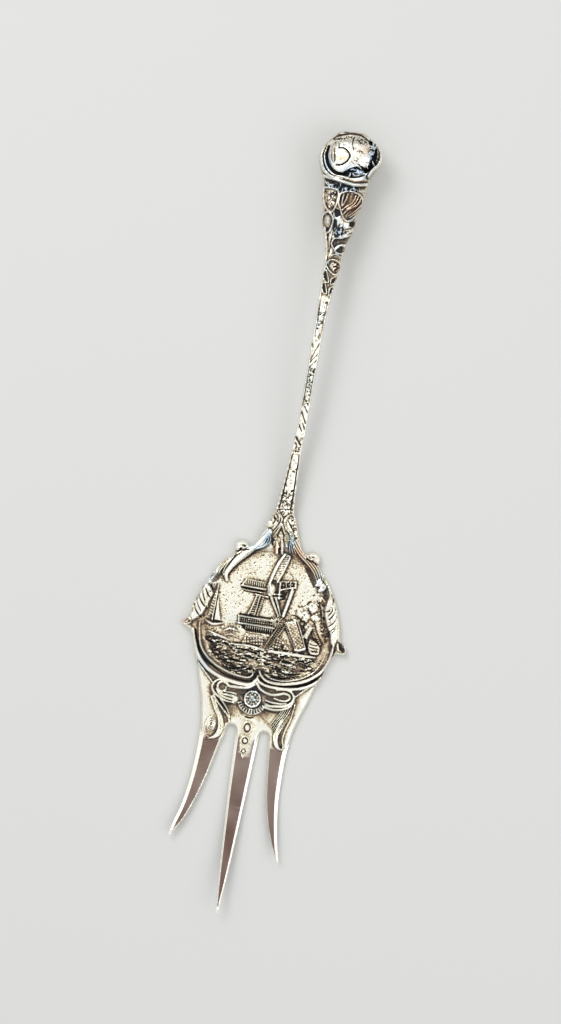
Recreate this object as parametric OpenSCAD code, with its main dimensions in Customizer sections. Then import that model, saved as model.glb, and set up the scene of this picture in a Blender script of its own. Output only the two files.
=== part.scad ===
// Silver cake fork: a round relief plate with three tines, a slim stem and a rose at its end.
// One casting, lying on the flat back of its plate and the underside of the rose, relief up.
// Millimetres. The stem runs along +Y, and all plan positions are measured from the plate's centre.

/* [Plate] */
// Radius of the round picture field
field_r = 15.1; // [12.2:0.1:18]
// Width of the band round the field that carries rim and leaves
band_w = 1.2; // [0.9:0.1:2]
// Thickness of the plate under the relief
plate_t = 1.3; // [1:0.1:2]
// Length of the plain ground between the field and the crotches of the tines
ground_l = 10.9; // [9:0.1:13]
// Length from the crotches of the tines to the line of their roots
root_l = 4.1; // [3.4:0.1:5]
// Radius of the crotches between the tines
crotch_r = 1.1; // [0.8:0.1:1.2]
// How far the plate widens past its band where the flanks leave the circle
flank_out = 1; // [0.5:0.1:1.5]

/* [Relief] */
// Height of the rim over the plate
rim_h = 1.1; // [0.7:0.1:1.6]
// Width of the rim
rim_w = 1.2; // [0.8:0.1:1.6]
// Height of the picture's main forms over the field
scene_h = 0.9; // [0.5:0.1:1.4]
// Height of the scrolls and shells under the field
scroll_h = 1; // [0.6:0.1:1.5]
// Height of the leaves on the flanks, the neck and the tines
leaf_h = 0.8; // [0.5:0.1:1.3]
// Radius of the rosette under the field
rosette_r = 2; // [1.5:0.1:2.6]

/* [Tines] */
// Length of the middle tine from the line of the roots
mid_tine_l = 39; // [30:0.1:46]
// Length of the left tine from the line of the roots
left_tine_l = 23.3; // [18:0.1:28]
// Length of the right tine from the line of the roots
right_tine_l = 25.6; // [20:0.1:31]
// Width of the middle tine at its root
mid_tine_w = 5; // [4:0.1:5.4]
// Width of the left tine at its root
left_tine_w = 5; // [4:0.1:5.4]
// Width of the right tine at its root
right_tine_w = 4.3; // [3.4:0.1:4.7]
// Distance from the middle tine to the left tine at the roots
left_pitch = 8; // [7.7:0.1:9.6]
// Distance from the middle tine to the right tine at the roots
right_pitch = 7.6; // [7.5:0.1:9]
// How far the left tine bends outwards
left_splay = 5.6; // [4:0.1:7]
// How far the right tine bends outwards
right_splay = 4.6; // [3.5:0.1:6]
// Thickness of the tines at their tips
tip_t = 0.7; // [0.5:0.1:1]
// Width of the bevel along the tines' edges
bevel_w = 0.65; // [0.4:0.05:0.8]
// How far the middle tine's tip is lifted off the table
tine_lift = 3.5; // [0:0.1:6]

/* [Stem] */
// Length from the plate's centre to the centre of the rose
stem_l = 105.7; // [86:0.1:125]
// Width of the stem where it is thinnest
stem_w = 2.2; // [1.8:0.1:2.8]
// Length of the neck from the plate to where the stem is thinnest
neck_l = 26; // [20:0.5:32]
// Width of the neck where the stem leaves the plate
neck_w = 4.4; // [3.5:0.1:5.5]
// Thickness of the stem
stem_t = 2.1; // [1.6:0.1:2.8]
// Height of the stem's arch over a straight line
stem_arch = 3.4; // [1:0.1:6]
// Lean of the stem towards the right, in degrees
stem_lean = 0.55; // [0:0.05:1]

/* [Rose] */
// Radius of the closed bud
bud_r = 5.1; // [4.1:0.1:6.2]
// Radius to the outside of the outer petals
petal_r = 6.6; // [6:0.1:8]
// Thickness of the petals
petal_t = 0.7; // [0.5:0.1:1]
// Width of the calyx where the petals spring from it
calyx_w = 10.5; // [8.5:0.1:12]
// Length of the leafy calyx under the rose
calyx_l = 26; // [20:0.1:32]

/* [Hidden] */

// How far relief is rooted in what carries it
root_in = 0.35;
// Plan radius of the plate with the band that its leaves stand on
plate_r = field_r + band_w;
// Lines across the fork: bottom of the field, crotches, and roots of the tines
field_y = -field_r;
crotch_y = field_y - ground_l;
root_y = crotch_y - root_l;
// The middle tine stands this far right of the axis
mid_x = 0.15;
// The tines end in a flat at this share of their length, so that the points are not razor thin
needle = 0.995;
// Where the plate's flanks are widest
flank_y = -field_r * 0.18;
// The picture is drawn for a field of this radius, and follows the real one
scene_r = 15.1;
scene_k = field_r / scene_r;
// The scrolls are drawn for this length of ground from field to roots, and follow the real one
ground_drawn = 15;
ground_k = (ground_l + root_l) / ground_drawn;
// The closed bud is longer and wider than its radius by these shares, and the whole rose is flatter
bud_long = 1.15;
bud_wide = 1.1;
rose_flat = 0.88;
// Where the loft of the stem starts, and the height of the stem's axis at its two ends
stem_y0 = plate_r - 1;
neck_z = plate_t / 2;
rose_z = petal_r * rose_flat;
// Points of curved forms are set on a grid this fine, so that edges that ought to meet do meet
grid = 0.002;
// Relief sections from one foot over the crown to the other, as shares of half width and height
round_ridge = [[-1, 0], [-0.72, 0.7], [0, 1], [0.72, 0.7], [1, 0]];
sharp_ridge = [[-1, 0], [0, 1], [1, 0]];
flat_ridge = [[-1, 0], [-0.8, 1], [0.8, 1], [1, 0]];

// Points and curves in plan
function polar(r, a) = r * [cos(a), sin(a)];
function arc(c, r, a0, a1, n) = [for (i = [0:n]) c + polar(r, a0 + (a1 - a0) * i / n)];
function coil(c, r0, r1, a0, a1, n) =
    [for (i = [0:n]) c + polar(r0 + (r1 - r0) * i / n, a0 + (a1 - a0) * i / n)];
// A point at distance d outside the plate's edge and angle a, and points placed so round the field
function on_plate(d, a) = polar(plate_r + d, a);
function round_field(keys) = [for (q = keys) polar(field_r + q[0], q[1])];
function spline(a, b, c, d, t) =
    (2 * b + (c - a) * t + (2 * a - 5 * b + 4 * c - d) * t * t + (3 * b - a - 3 * c + d) * t * t * t) / 2;
function curve(k, m) = let(last = len(k) - 1) concat(
    [for (i = [0:last - 1], j = [0:m - 1])
        spline(k[max(i - 1, 0)], k[i], k[i + 1], k[min(i + 2, last)], j / m)],
    [k[last]]);
function mix(a, b, t) = a + (b - a) * t;
function snap(p) = [for (c = p) round(c / grid) * grid];
function bow(w, t) = w[0] * (1 - t) * (1 - t) + 2 * w[1] * t * (1 - t) + w[2] * t * t;
function heading(p, i) = let(d = p[min(i + 1, len(p) - 1)] - p[max(i - 1, 0)]) d / norm(d);

// Closed skin over rings of points, each with as many points as the last
module loft(rings) {
    n = len(rings);
    c = len(rings[0]);
    sides = [for (i = [0:n - 2], j = [0:c - 1], h = [0, 1]) let(k = (j + 1) % c)
        h == 0 ? [i * c + j, i * c + k, (i + 1) * c + k] : [i * c + j, (i + 1) * c + k, (i + 1) * c + j]];
    ends = [[for (j = [c - 1:-1:0]) j], [for (j = [0:c - 1]) (n - 1) * c + j]];
    polyhedron([for (r = rings, p = r) snap(p)], concat(sides, ends), convexity = 6);
}

// Raised line along a plan path: w gives its width at start, middle and end, z its foot height
module ridge(path, w, h, z = plate_t, section = round_ridge, foot = root_in) {
    n = len(path) - 1;
    widest = max(w[0], w[1], w[2]) / 2;
    loft([for (i = [0:n]) let(
        d = heading(path, i),
        k = bow(w, i / n) / 2,
        s = [-d[1], d[0]] * k,
        c = snap(path[i]),
        top = h * min(1, 0.35 + k / widest))
        concat(
            [for (q = section) concat(c + snap(s * q[0]), z + top * q[1])],
            [concat(c + snap(s), z - foot), concat(c - snap(s), z - foot)])]);
}

// A ridge that goes down to the back of the plate, for what stands past its edge
module edge_ridge(path, w, h, section = round_ridge) {
    ridge(path, w, h, plate_t, section, plate_t);
}

// The same twice, once on each side of the fork's axis
module both() {
    children();
    mirror([1, 0, 0]) children();
}

// Straight bar in plan
module bar(a, b, w, h) {
    ridge([a, b], [w, w, w], h, section = flat_ridge);
}

// Flat raised area in plan
module slab(points, h) {
    translate([0, 0, plate_t - root_in]) linear_extrude(h + root_in) polygon(points);
}

// Low mound with a crown
module mound(c, r, h) {
    translate([c[0], c[1], plate_t - root_in]) cylinder(r1 = r, r2 = r * 0.5, h = h + root_in, $fn = 9);
}

// Pointed leaf in plan from a to b, fullest nearer its stalk at a
module leaf(a, b, w, h, foot = root_in) {
    z = plate_t;
    m = mix(a, b, 0.4);
    hull() {
        translate([m[0], m[1], z - foot]) cylinder(d1 = w, d2 = w * 0.3, h = h + foot, $fn = 6);
        for (q = [a, b])
            translate([q[0], q[1], z - foot]) cylinder(d1 = w * 0.3, d2 = 0.1, h = h * 0.5 + foot, $fn = 4);
    }
}

// Half width of the plate from the tine's outer edge up to where it is widest
function flank(y, outer, bend) =
    outer + (plate_r + flank_out - outer) * pow((y - root_y) / (flank_y - root_y), bend);

// Plate with the crotches of the tines cut round
module plate() {
    left_edge = left_pitch + left_tine_w / 2 - 0.1;
    right_edge = right_pitch + right_tine_w / 2 - 0.1;
    steps = 8;
    ys = [for (i = [0:steps]) mix(root_y, flank_y, i / steps)];
    shoulder = [for (q = [[0.7, -1], [0.1, 7], [-0.3, 16], [-0.6, 26]]) on_plate(q[0] * flank_out, q[1])];
    linear_extrude(plate_t) difference() {
        union() {
            circle(r = field_r + band_w / 2, $fn = 64);
            polygon(concat([for (y = ys) [flank(y, right_edge, 1.2), y]], shoulder,
                [for (i = [3:-1:0]) [-shoulder[i][0], shoulder[i][1]]],
                [for (i = [steps:-1:0]) [-flank(ys[i], left_edge, 1.45), ys[i]]]));
        }
        crotch(left_tine_w / 2 - left_pitch, mid_x - mid_tine_w / 2, 0.56);
        crotch(mid_x + mid_tine_w / 2, right_pitch - right_tine_w / 2, 0.5);
    }
}

// Gap between two tines whose edges are at a and b: its round top stands at a share of the way between
module crotch(a, b, share) {
    low = root_y - 1;
    polygon(concat([[b, low], [b, root_y]],
        arc([mix(a, b, share), crotch_y - crotch_r], crotch_r, 0, 180, 10), [[a, root_y], [a, low]]));
}

// One tine: flat face, bevelled edges, a needle tip, bent outwards in plan and lifted in side view
module tine(x, l, w, splay, bend) {
    steps = 12;
    over = 3;
    taper = 0.62;
    loft([for (i = [-1:steps]) let(
        t = i < 0 ? 0 : mix(0.02, needle, i / steps),
        y = i < 0 ? root_y + over : root_y - l * t,
        c = x + splay * pow(t, bend),
        hw = w / 2 * pow(1 - t, taper),
        b = min(bevel_w, hw * 0.5),
        z = tine_lift * pow(t * l / mid_tine_l, 2),
        th = mix(plate_t, tip_t, t))
        [[c - hw, y, z + th * 0.45], [c - hw + b, y, z + th], [c + hw - b, y, z + th],
            [c + hw, y, z + th * 0.45], [c + hw - b, y, z], [c - hw + b, y, z]]]);
}

module tines() {
    tine(mid_x, mid_tine_l, mid_tine_w, 0, 2);
    tine(-left_pitch, left_tine_l, left_tine_w, -left_splay, 1.7);
    tine(right_pitch, right_tine_l, right_tine_w, right_splay, 2.2);
}

// Three plain oval stamps on the root of the middle tine
module stamps() {
    for (s = [[-26.2, 1.9, 2.5], [-29.2, 1.8, 2], [-31.5, 1.4, 1.5]])
        translate([mid_x, s[0] - field_y - scene_r, plate_t - 0.12]) scale([s[1], s[2], 1])
            difference() {
                cylinder(d = 1, h = 0.3, $fn = 12);
                translate([0, 0, 0.15]) cylinder(d = 0.6, h = 1, $fn = 12);
            }
}

// Two raised lines round the lower half of the field on each side, curling up where they meet
module rim() {
    inner_left = [[0.3, 195], [1.5, 214], [1.5, 224], [1.1, 236], [0.5, 248], [0, 260]];
    outer_left = [[2.1, 200], [2.9, 222], [3, 232], [2.6, 242], [1.5, 261]];
    inner_right = [[1.3, -16], [2.5, -37], [2.4, -48], [1.8, -57], [1, -69], [0.1, -79]];
    outer_right = [[2, -24], [3.3, -42], [3.2, -52], [2.6, -63], [1.4, -78]];
    left_end = [[-1.4, field_y + 0.6], [-0.9, field_y + 1.3], [-1.4, field_y + 2]];
    ridge(curve(concat(round_field(inner_left), left_end), 2),
        [rim_w * 0.5, rim_w * 0.75, rim_w * 0.4], rim_h);
    ridge(curve(concat(round_field(outer_left), [[-0.3, field_y - 0.4]]), 2),
        [rim_w * 0.7, rim_w * 1.2, rim_w * 0.6], rim_h * 0.85, foot = plate_t);
    ridge(curve(concat(round_field(inner_right), [[1.1, field_y + 1.1], [0.5, field_y + 2.1]]), 2),
        [rim_w * 0.6, rim_w * 0.9, rim_w * 0.5], rim_h);
    ridge(curve(concat(round_field(outer_right), [[0.3, field_y + 0.3]]), 2),
        [rim_w * 0.6, rim_w, rim_w * 0.6], rim_h * 0.85, foot = plate_t);
}

// Scrolls, shells and the rosette under the field
module scrollwork() {
    turn_from = 118;
    turn_to = 380;
    eye = [-7.2, -3];
    spray = [[-8.4, -5.4], [-7.3, -7.5], [-6.1, -9.8], [-5.6, -11.8], [-6.2, -13.8], [-7.4, -14.8]];
    translate([0, field_y]) scale([scene_k, ground_k, 1]) {
        both() {
            ridge(concat([[-0.2, -1.3]], curve([[-1.6, -2.3], [-4.6, -2.5], [-7.4, -1.8]], 2),
                coil(eye, 1.25, 0.5, turn_from, turn_to, 6)), [0.9, 1.1, 0.5], scroll_h);
            for (i = [0:2])
                ridge(arc([-5.2 + i * 0.3, -3.6], 4.3 - i * 0.95, 155, 262 - i * 8, 5),
                    [0.6, 1.2, 0.3], scroll_h * (0.95 - i * 0.12), section = sharp_ridge);
            ridge([[-9.5, -3.4], [-8.7, -5.2], [-6.9, -7.1], [-5, -9.2], [-4.5, -10.9]],
                [0.6, 1.4, 0.5], leaf_h);
            for (i = [0:2])
                ridge([for (q = spray) q - [0.6, 0.1] * i], [0.5, 1, 0.6], leaf_h, section = sharp_ridge);
        }
        ridge(arc([-8.6, -12], 1.1, 75, 330, 6), [0.5, 0.7, 0.4], leaf_h * 0.6, section = sharp_ridge);
        ridge(curve([[9.7, -4.2], [9.3, -8], [8.5, -11.5], [8.8, -14.4]], 2), [0.5, 0.9, 0.5], leaf_h * 0.8);
        translate([0, -4.3, plate_t - root_in]) rosette();
    }
}

// Domed rosette with a beaded fringe below
module rosette() {
    rotate_extrude($fn = 18) polygon([[0, 0], [rosette_r, 0], [rosette_r, 0.9], [rosette_r * 0.85, 1.1],
        [rosette_r * 0.7, 0.8], [rosette_r * 0.35, 0.85], [0, 1.25]]);
    beads = 7;
    fringe_from = 200;
    fringe_to = 340;
    for (i = [0:beads - 1])
        rotate(mix(fringe_from, fringe_to, i / (beads - 1))) translate([rosette_r + 1, 0]) rotate(30)
            cylinder(r1 = 0.5, r2 = 0.25, h = 0.9, $fn = 6);
}

// Leaves, knobs and curled tips on the flanks of the plate
module flank_leaves() {
    left_arm();
    right_arm();
    lower_leaves();
    both() {
        edge_ridge([for (j = [0:5]) on_plate(-1.2 + 0.08 * j * j, 148 + j * 8.4)],
            [0.5, 1, 1.2], leaf_h * 0.9);
        volute();
    }
    edge_ridge([on_plate(-0.1, 195.5), on_plate(1.7, 194.7), on_plate(3.5, 194.6)], [4.4, 3, 0.3], leaf_h);
    scoop = on_plate(2.4, -16);
    hull() {
        translate(scoop) cylinder(r = 1.25, h = plate_t + leaf_h * 0.3, $fn = 10);
        translate(on_plate(-0.6, -15)) cylinder(r = 2.1, h = plate_t + leaf_h * 0.3, $fn = 10);
    }
    edge_ridge(arc(scoop, 0.95, 130, -120, 6), [0.6, 0.8, 0.6], leaf_h, sharp_ridge);
}

// Round knob that stands out beside the neck
module volute() {
    hull() {
        for (foot = [[-0.6, 112], [-0.9, 125]])
            translate(on_plate(foot[0], foot[1])) cylinder(r = 0.9, h = plate_t + leaf_h * 0.5, $fn = 8);
        translate(on_plate(0.9, 121.5)) cylinder(r = 0.9, h = plate_t + leaf_h * 1.2, $fn = 8);
    }
}

// Broad leaf from the neck with a hooked tip, and three ribs outside it
module left_arm() {
    keys = [[2.6, 98], [0.5, 106], [-1.3, 118], [-2, 128], [-2.6, 138], [-3, 145], [-4.1, 149]];
    edge_ridge(curve([for (q = keys) on_plate(q[0], q[1])], 2), [1.4, 2.6, 0.5], leaf_h * 1.3);
    for (i = [0:2])
        edge_ridge([for (j = [0:3]) on_plate(-0.7 - 0.35 * i - j * (0.1 + 0.2 * i), mix(129, 149, j / 3))],
            [0.5, 0.9, 0.4], leaf_h, sharp_ridge);
}

// Thin ribs from the neck that fan out, and two scalloped tips
module right_arm() {
    keys = [[1, 80], [-0.7, 72], [-1.4, 62], [-1.9, 54], [-2.4, 46], [-2.9, 40]];
    for (i = [0:2])
        edge_ridge([for (q = keys) on_plate(q[0] + i * 0.6, q[1])],
            [0.7, 0.9, 0.4], leaf_h * (1.3 - i * 0.1), sharp_ridge);
    leaf(on_plate(-1.8, 44), on_plate(-3.5, 40), 1.5, leaf_h * 1.1);
    leaf(on_plate(-1.7, 38), on_plate(-3.6, 33), 1.5, leaf_h * 1.1);
}

// A smooth shoulder and slanting free tips on the left, longer and steeper ones on the right
module lower_leaves() {
    leaf(on_plate(-1.5, 150), on_plate(-1.9, 167), 2.4, leaf_h * 0.9);
    ribs = 6;
    for (i = [0:ribs - 1]) {
        left_foot = on_plate(-0.6 + 0.2 * i, 163 + 4.7 * i);
        left_tip = on_plate(-3.2 + 0.55 * i, 170 + 4.9 * i);
        right_foot = on_plate(-1.4 + 0.22 * i, 29 - 5.2 * i);
        right_tip = on_plate(-3 + 0.1 * i * i, 15 - 5.2 * i);
        leaf(left_foot, left_tip, 1.4, leaf_h, foot = plate_t);
        leaf(right_foot, right_tip, 1.3, leaf_h, foot = plate_t);
    }
}

// Half width and height of the stem's axis along y, counted from the plate's centre
calyx_y = stem_l - bud_r - calyx_l;
function calyx_at(t) = calyx_y + calyx_l * t;
function stem_hw(y) = lookup(y, [[stem_y0, neck_w * 1.25], [stem_y0 + neck_l * 0.1, neck_w * 0.97],
    [stem_y0 + neck_l * 0.19, neck_w * 0.75], [stem_y0 + neck_l * 0.37, neck_w * 0.5],
    [stem_y0 + neck_l * 0.58, neck_w * 0.38], [stem_y0 + neck_l, stem_w / 2],
    [calyx_y - 8, stem_w / 2], [calyx_y, stem_w * 0.7], [calyx_at(0.35), stem_w],
    [calyx_at(0.47), calyx_w * 0.26], [calyx_at(0.6), calyx_w * 0.37], [calyx_at(1), calyx_w / 2],
    [stem_l, calyx_w / 2]]);
function stem_ht(y) = lookup(y, [[stem_y0, plate_t * 0.5], [stem_y0 + neck_l * 0.31, stem_t * 0.6],
    [stem_y0 + neck_l * 0.77, stem_t / 2], [calyx_y, stem_t / 2], [calyx_at(0.6), stem_t * 0.9],
    [calyx_at(1), calyx_w * 0.4]]);
function stem_z(y) = let(s = max(0, (y - stem_y0) / (stem_l - stem_y0)))
    mix(neck_z, rose_z, s) + stem_arch * pow(sin(180 * s), 1.3);
function stem_x(y) = y * tan(stem_lean) * max(0, min(1, 3 * (y - stem_y0) / (stem_l - stem_y0)));
// A point of the stem's upper face at y, and a share u of its half width from the axis
function on_stem(y, u) = [stem_x(y) + u * stem_hw(y), y, stem_z(y) + stem_ht(y) * sqrt(1 - u * u * 0.9)];

// Stem and calyx in one loft of oval rings
module stem() {
    steps = 25;
    sides = 8;
    loft([for (i = [0:steps]) let(y = mix(stem_y0, stem_l - bud_r * 0.5, i / steps))
        [for (j = [0:sides - 1]) let(a = 360 * j / sides)
            [stem_x(y) + stem_hw(y) * cos(a), y, stem_z(y) + stem_ht(y) * sin(a)]]]);
}

// Raised line over the stem: points are [y, share of the half width]
module stem_ridge(points, w, h, section = sharp_ridge) {
    n = len(points) - 1;
    p = [for (q = points) on_stem(q[0], q[1])];
    loft([for (i = [0:n]) let(
        d = heading(p, i),
        s = [-d[1], d[0], 0] / norm([d[0], d[1]]),
        k = bow(w, i / n) / 2)
        concat([for (q = section) p[i] + s * q[0] * k + [0, 0, h * q[1]]],
            [p[i] + s * k - [0, 0, root_in], p[i] - s * k - [0, 0, root_in]])]);
}

// Acanthus neck, carved panels along the stem, and small leaves towards the rose
module stem_carving() {
    y0 = stem_y0;
    ridge([[0, y0 - 1.4], [0, y0 + 0.4], [0, y0 + 2.6]], [0.3, 1.5, 0.4], leaf_h * 1.4);
    for (u = [-1, 1]) {
        stem_ridge([for (i = [0:3]) [y0 + neck_l * (0.38 - i * 0.12), u * (0.3 + i * 0.13)]],
            [0.5, 1.3, 0.8], leaf_h, round_ridge);
        stem_ridge([for (i = [0:2]) [y0 + neck_l * (0.31 - i * 0.13), u * (0.05 + i * 0.15)]],
            [0.4, 0.9, 0.5], leaf_h * 0.8);
        stem_ridge([for (i = [0:2]) [y0 + neck_l * (0.54 + i * 0.23), u * 0.62]],
            [0.4, 0.6, 0.3], leaf_h * 0.5);
    }
    diagonals = 5;
    pitch = 2.2;
    for (i = [0:diagonals - 1]) {
        low = y0 + neck_l + 5 + i * pitch;
        high = calyx_y - 14 + i * pitch;
        stem_ridge([[low, -0.7], [low + 2, 0.7]], [0.4, 0.7, 0.4], leaf_h * 0.4);
        stem_ridge([[high, 0.7], [high + 2, -0.7]], [0.4, 0.7, 0.4], leaf_h * 0.4);
    }
    leaves = 4;
    for (i = [0:leaves - 1]) let(y = calyx_at(i / 8), u = i % 2 == 0 ? 1 : -1)
        stem_ridge([[y, 0], [y + 1.4, u * 0.45], [y + 3.4, u * 0.9]], [0.6, 1.8, 0.5], leaf_h, round_ridge);
    calyx_leaves();
}

// Leaves of the calyx, as shares of its length and half width, and the collar over them
module calyx_leaves() {
    leaves = [
        [[[0.58, 0.4], [0.66, 0.45], [0.8, 0.42], [0.91, 0.3]], 8, 1.3],
        [[[0.62, -0.2], [0.72, -0.45], [0.82, -0.62], [0.9, -0.75]], 5, 1.2],
        [[[0.48, -0.3], [0.59, -0.6], [0.7, -0.8]], 4, 1],
        [[[0.48, 0.1], [0.53, 0.45], [0.58, 0.8]], 4.2, 1],
        [[[0.7, -0.05], [0.8, -0.08], [0.9, 0]], 2, 0.9]];
    for (q = leaves)
        stem_ridge([for (k = q[0]) [calyx_at(k[0]), k[1]]], [0.8, q[1], 0.6], leaf_h * q[2], round_ridge);
    stem_ridge([for (u = [-0.95:0.38:0.95]) [calyx_at(0.96 + 0.03 * u * u), u]],
        [0.8, 1.7, 0.8], leaf_h, round_ridge);
}

// One petal: a bowed leaf of metal round the bud, free edge up, higher at its start where slant is more
module petal(a, spread, reach, slant, bulge) {
    cols = 6;
    rows = 4;
    function at(i, j, r) = let(
        u = 2 * i / cols - 1,
        b = a + spread * u / 2,
        e = mix(-62, reach - slant * u - 10 * u * u, j / rows),
        q = r + bulge * sin(180 * j / rows))
        [q * cos(e) * sin(b), q * sin(e), q * cos(e) * cos(b) * rose_flat];
    loft([for (i = [0:cols]) concat([for (j = [0:rows]) at(i, j, petal_r)],
        [for (j = [rows:-1:0]) at(i, j, petal_r - petal_t - 0.8 * (1 - j / rows))])]);
}

// Rose: a closed bud with a smaller one on it, in a ring of petals
module rose() {
    translate(snap([stem_x(stem_l), stem_l, rose_z])) {
        scale([bud_wide, bud_long, rose_flat]) sphere(r = bud_r, $fn = 18);
        translate([-0.4 * bud_r, -0.14 * bud_r, 0.62 * bud_r]) sphere(r = bud_r * 0.37, $fn = 10);
        petal(98, 90, 38, 0, 0.6);
        petal(-75, 130, 5, 30, 0.5);
        petal(20, 90, -36, 0, 0.2);
        petal(183, 100, 20, 0, 0);
    }
}

// Windmill with its gallery, sails and braced base
module mill() {
    hub = [-0.3, 5.7];
    slab([[-4.3, -0.4], [-3, 4.1], [-1.6, 4.1], [-2.8, -0.4]], scene_h * 0.4);
    bar([-4.4, -0.4], [-3.1, 4.2], 0.35, scene_h * 0.75);
    bar([-2.7, -0.4], [-1.6, 4.2], 0.6, scene_h * 0.85);
    for (i = [0:4]) let(y = 0.2 + i * 0.85)
        bar([-4.1 + i * 0.26, y], [-2.7 + i * 0.22, y], 0.3, scene_h * 0.65);
    mound(hub, 1.5, scene_h * 1.2);
    bar([0.2, 4.6], [2.5, 0.1], 0.6, scene_h);
    bar([1.3, 4.4], [3, 0.3], 0.5, scene_h * 1.1);
    sail([-0.9, 6.4], [1.5, 14.4], 1.7, -1);
    sail(hub, [-6.9, 5.8], 1.8, -1);
    sail([1.2, 5.7], [5, 7], 1.6, 1);
    bar([4.7, 6.6], [3.7, 0.3], 0.9, scene_h * 1.2);
    slab([[-6.4, -1.1], [-6.4, -2.9], [2.6, -2.9], [2.6, -1.1]], scene_h * 0.5);
    for (y = [-1.05, -2.85]) bar([-6.6, y], [2.8, y], 0.4, scene_h);
    for (i = [0:8]) bar([-5.9 + i * 1.02, -2.8], [-5.9 + i * 1.02, -1.1], 0.38, scene_h * 0.82);
    slab([[-4.1, -4.8], [-4.8, -7.3], [0.3, -7.3], [0, -4.8]], scene_h * 0.5);
    ridge([[4.1, -1.3], [2.9, -4.8], [1.2, -7.6]], [1.1, 1.3, 0.9], scene_h * 1.1);
    fan = [3.2, -0.7];
    for (a = [30:30:150]) bar(fan + polar(0.5, a), fan + polar(1.8, a), 0.35, scene_h * 0.8);
}

// Sail: a stock from a to b with a lattice w wide, on its left where side is 1
module sail(a, b, w, side) {
    d = (b - a) / norm(b - a);
    s = [-d[1], d[0]] * side;
    from = a + d * 1.7;
    bars = floor(norm(b - from) / 1.2);
    bar(a, b, 0.6, scene_h * 1.1);
    slab([from + s * 0.1, b - d * 0.05 + s * 0.1, b - d * 0.05 + s * w, from + s * w], scene_h * 0.35);
    bar(from + s * w - d * 0.1, b + s * w, 0.4, scene_h * 0.8);
    for (i = [0:bars - 1]) let(p = mix(from, b, (i + 0.6) / bars))
        bar(p, p + s * (w + 0.07), 0.3, scene_h * 0.62);
}

// Sheds with planked roofs and walls, and low trees behind
module sheds() {
    roof([4.3, -0.2], [6.6, -0.1], [9.7, -5.9], [7.5, -6.5]);
    slab([[9.1, -1.8], [10.2, -0.5], [11, -1.1], [9.9, -4.3], [9, -3.9]], scene_h * 0.5);
    bar([10.3, -0.7], [8.8, -3.9], 0.4, scene_h * 0.9);
    ridge([[10.8, -0.9], [12, -2.8], [13.1, -4.7]], [0.7, 0.9, 0.6], scene_h);
    slab([[10.6, -4.2], [12.4, -4.7], [13.3, -5.6], [12.9, -7.1], [11, -7.3]], scene_h * 0.5);
    for (i = [0:3]) bar([10.8, -4.7 - i * 0.65], [13.1, -5.2 - i * 0.5], 0.3, scene_h * 0.8);
    slab([[2.7, -4.4], [4.8, -5.2], [6.7, -7.2], [2.1, -7.3]], scene_h * 0.45);
    trees = [[8.1, 1.3, 1.4], [9.2, 2.9, 1.2], [10.4, 3.1, 1.2], [11.6, 2.8, 1.2], [11, 0.7, 1.2],
        [9.5, 0.8, 1]];
    for (t = trees)
        leaf([t[0], t[1] - t[2]], [t[0] + 0.2, t[1] + t[2]], t[2] * 1.5, scene_h * 0.6);
}

// Hatched roof over four corners, upper edge first
module roof(a, b, c, d) {
    boards = 8;
    slab([a, b, c, d], scene_h * 0.5);
    for (e = [[a, d], [b, c]]) bar(mix(e[0], e[1], -0.04), mix(e[0], e[1], 1.04), 0.35, scene_h * 0.9);
    for (i = [0:boards - 1]) let(t = (i + 0.4) / boards)
        bar(mix(a, d, t), mix(b, c, t), 0.28, scene_h * 0.7);
}

// Two boats on the left, and the banks and waves in front
module water() {
    bar([-11.9, -3.6], [-11.9, 4.4], 0.4, scene_h);
    slab([[-11.8, 3], [-10.4, -3.2], [-11.8, -3.2]], scene_h * 0.6);
    slab([[-12.2, 3.4], [-13, 1], [-13.4, -3], [-12.2, -3.2]], scene_h * 0.5);
    ridge([[-13.4, -3.6], [-11.4, -4.2], [-9.2, -3.5]], [0.5, 1.3, 0.4], scene_h * 0.8);
    ridge([[-8.8, -5.2], [-7, -5.7], [-5.2, -5.2]], [0.4, 1.1, 0.4], scene_h * 0.8);
    bar([-8.4, -4.5], [-6, -4.3], 0.4, scene_h * 0.6);
    waves = [[-13, -6, 7, 0.9], [-6.6, -7.9, 6.8, 1.2], [2, -8.1, 11, 1.3], [-11.6, -8.4, 5, 1.6],
        [-5.4, -9.3, 8, 0.9], [3, -9.8, 9.6, 1], [-9.6, -10.6, 7, 1.5], [-1.6, -11.3, 10.4, 1.4],
        [-6, -12.4, 6, 1.2], [1.6, -12.9, 6, 1]];
    for (q = waves)
        ridge([for (i = [0:4]) [q[0] + q[2] * i / 4, q[1] + 0.15 * sin(140 * i)]],
            [0.4, q[3], 0.4], scene_h * 0.6, section = sharp_ridge);
}

module picture() {
    scale([scene_k, scene_k, 1]) {
        mill();
        sheds();
        water();
    }
}

// Whole casting, with its origin under the middle of its length
module cake_fork() {
    top_y = stem_l + bud_r * bud_long;
    tip_y = root_y - mid_tine_l * needle;
    color("silver") translate([0, -(top_y + tip_y) / 2, 0]) union() {
        plate();
        tines();
        stamps();
        rim();
        scrollwork();
        flank_leaves();
        stem();
        stem_carving();
        rose();
        picture();
    }
}

cake_fork();
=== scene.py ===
import math

import bmesh
import bpy
import numpy as np
from mathutils import Matrix, Vector


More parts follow.
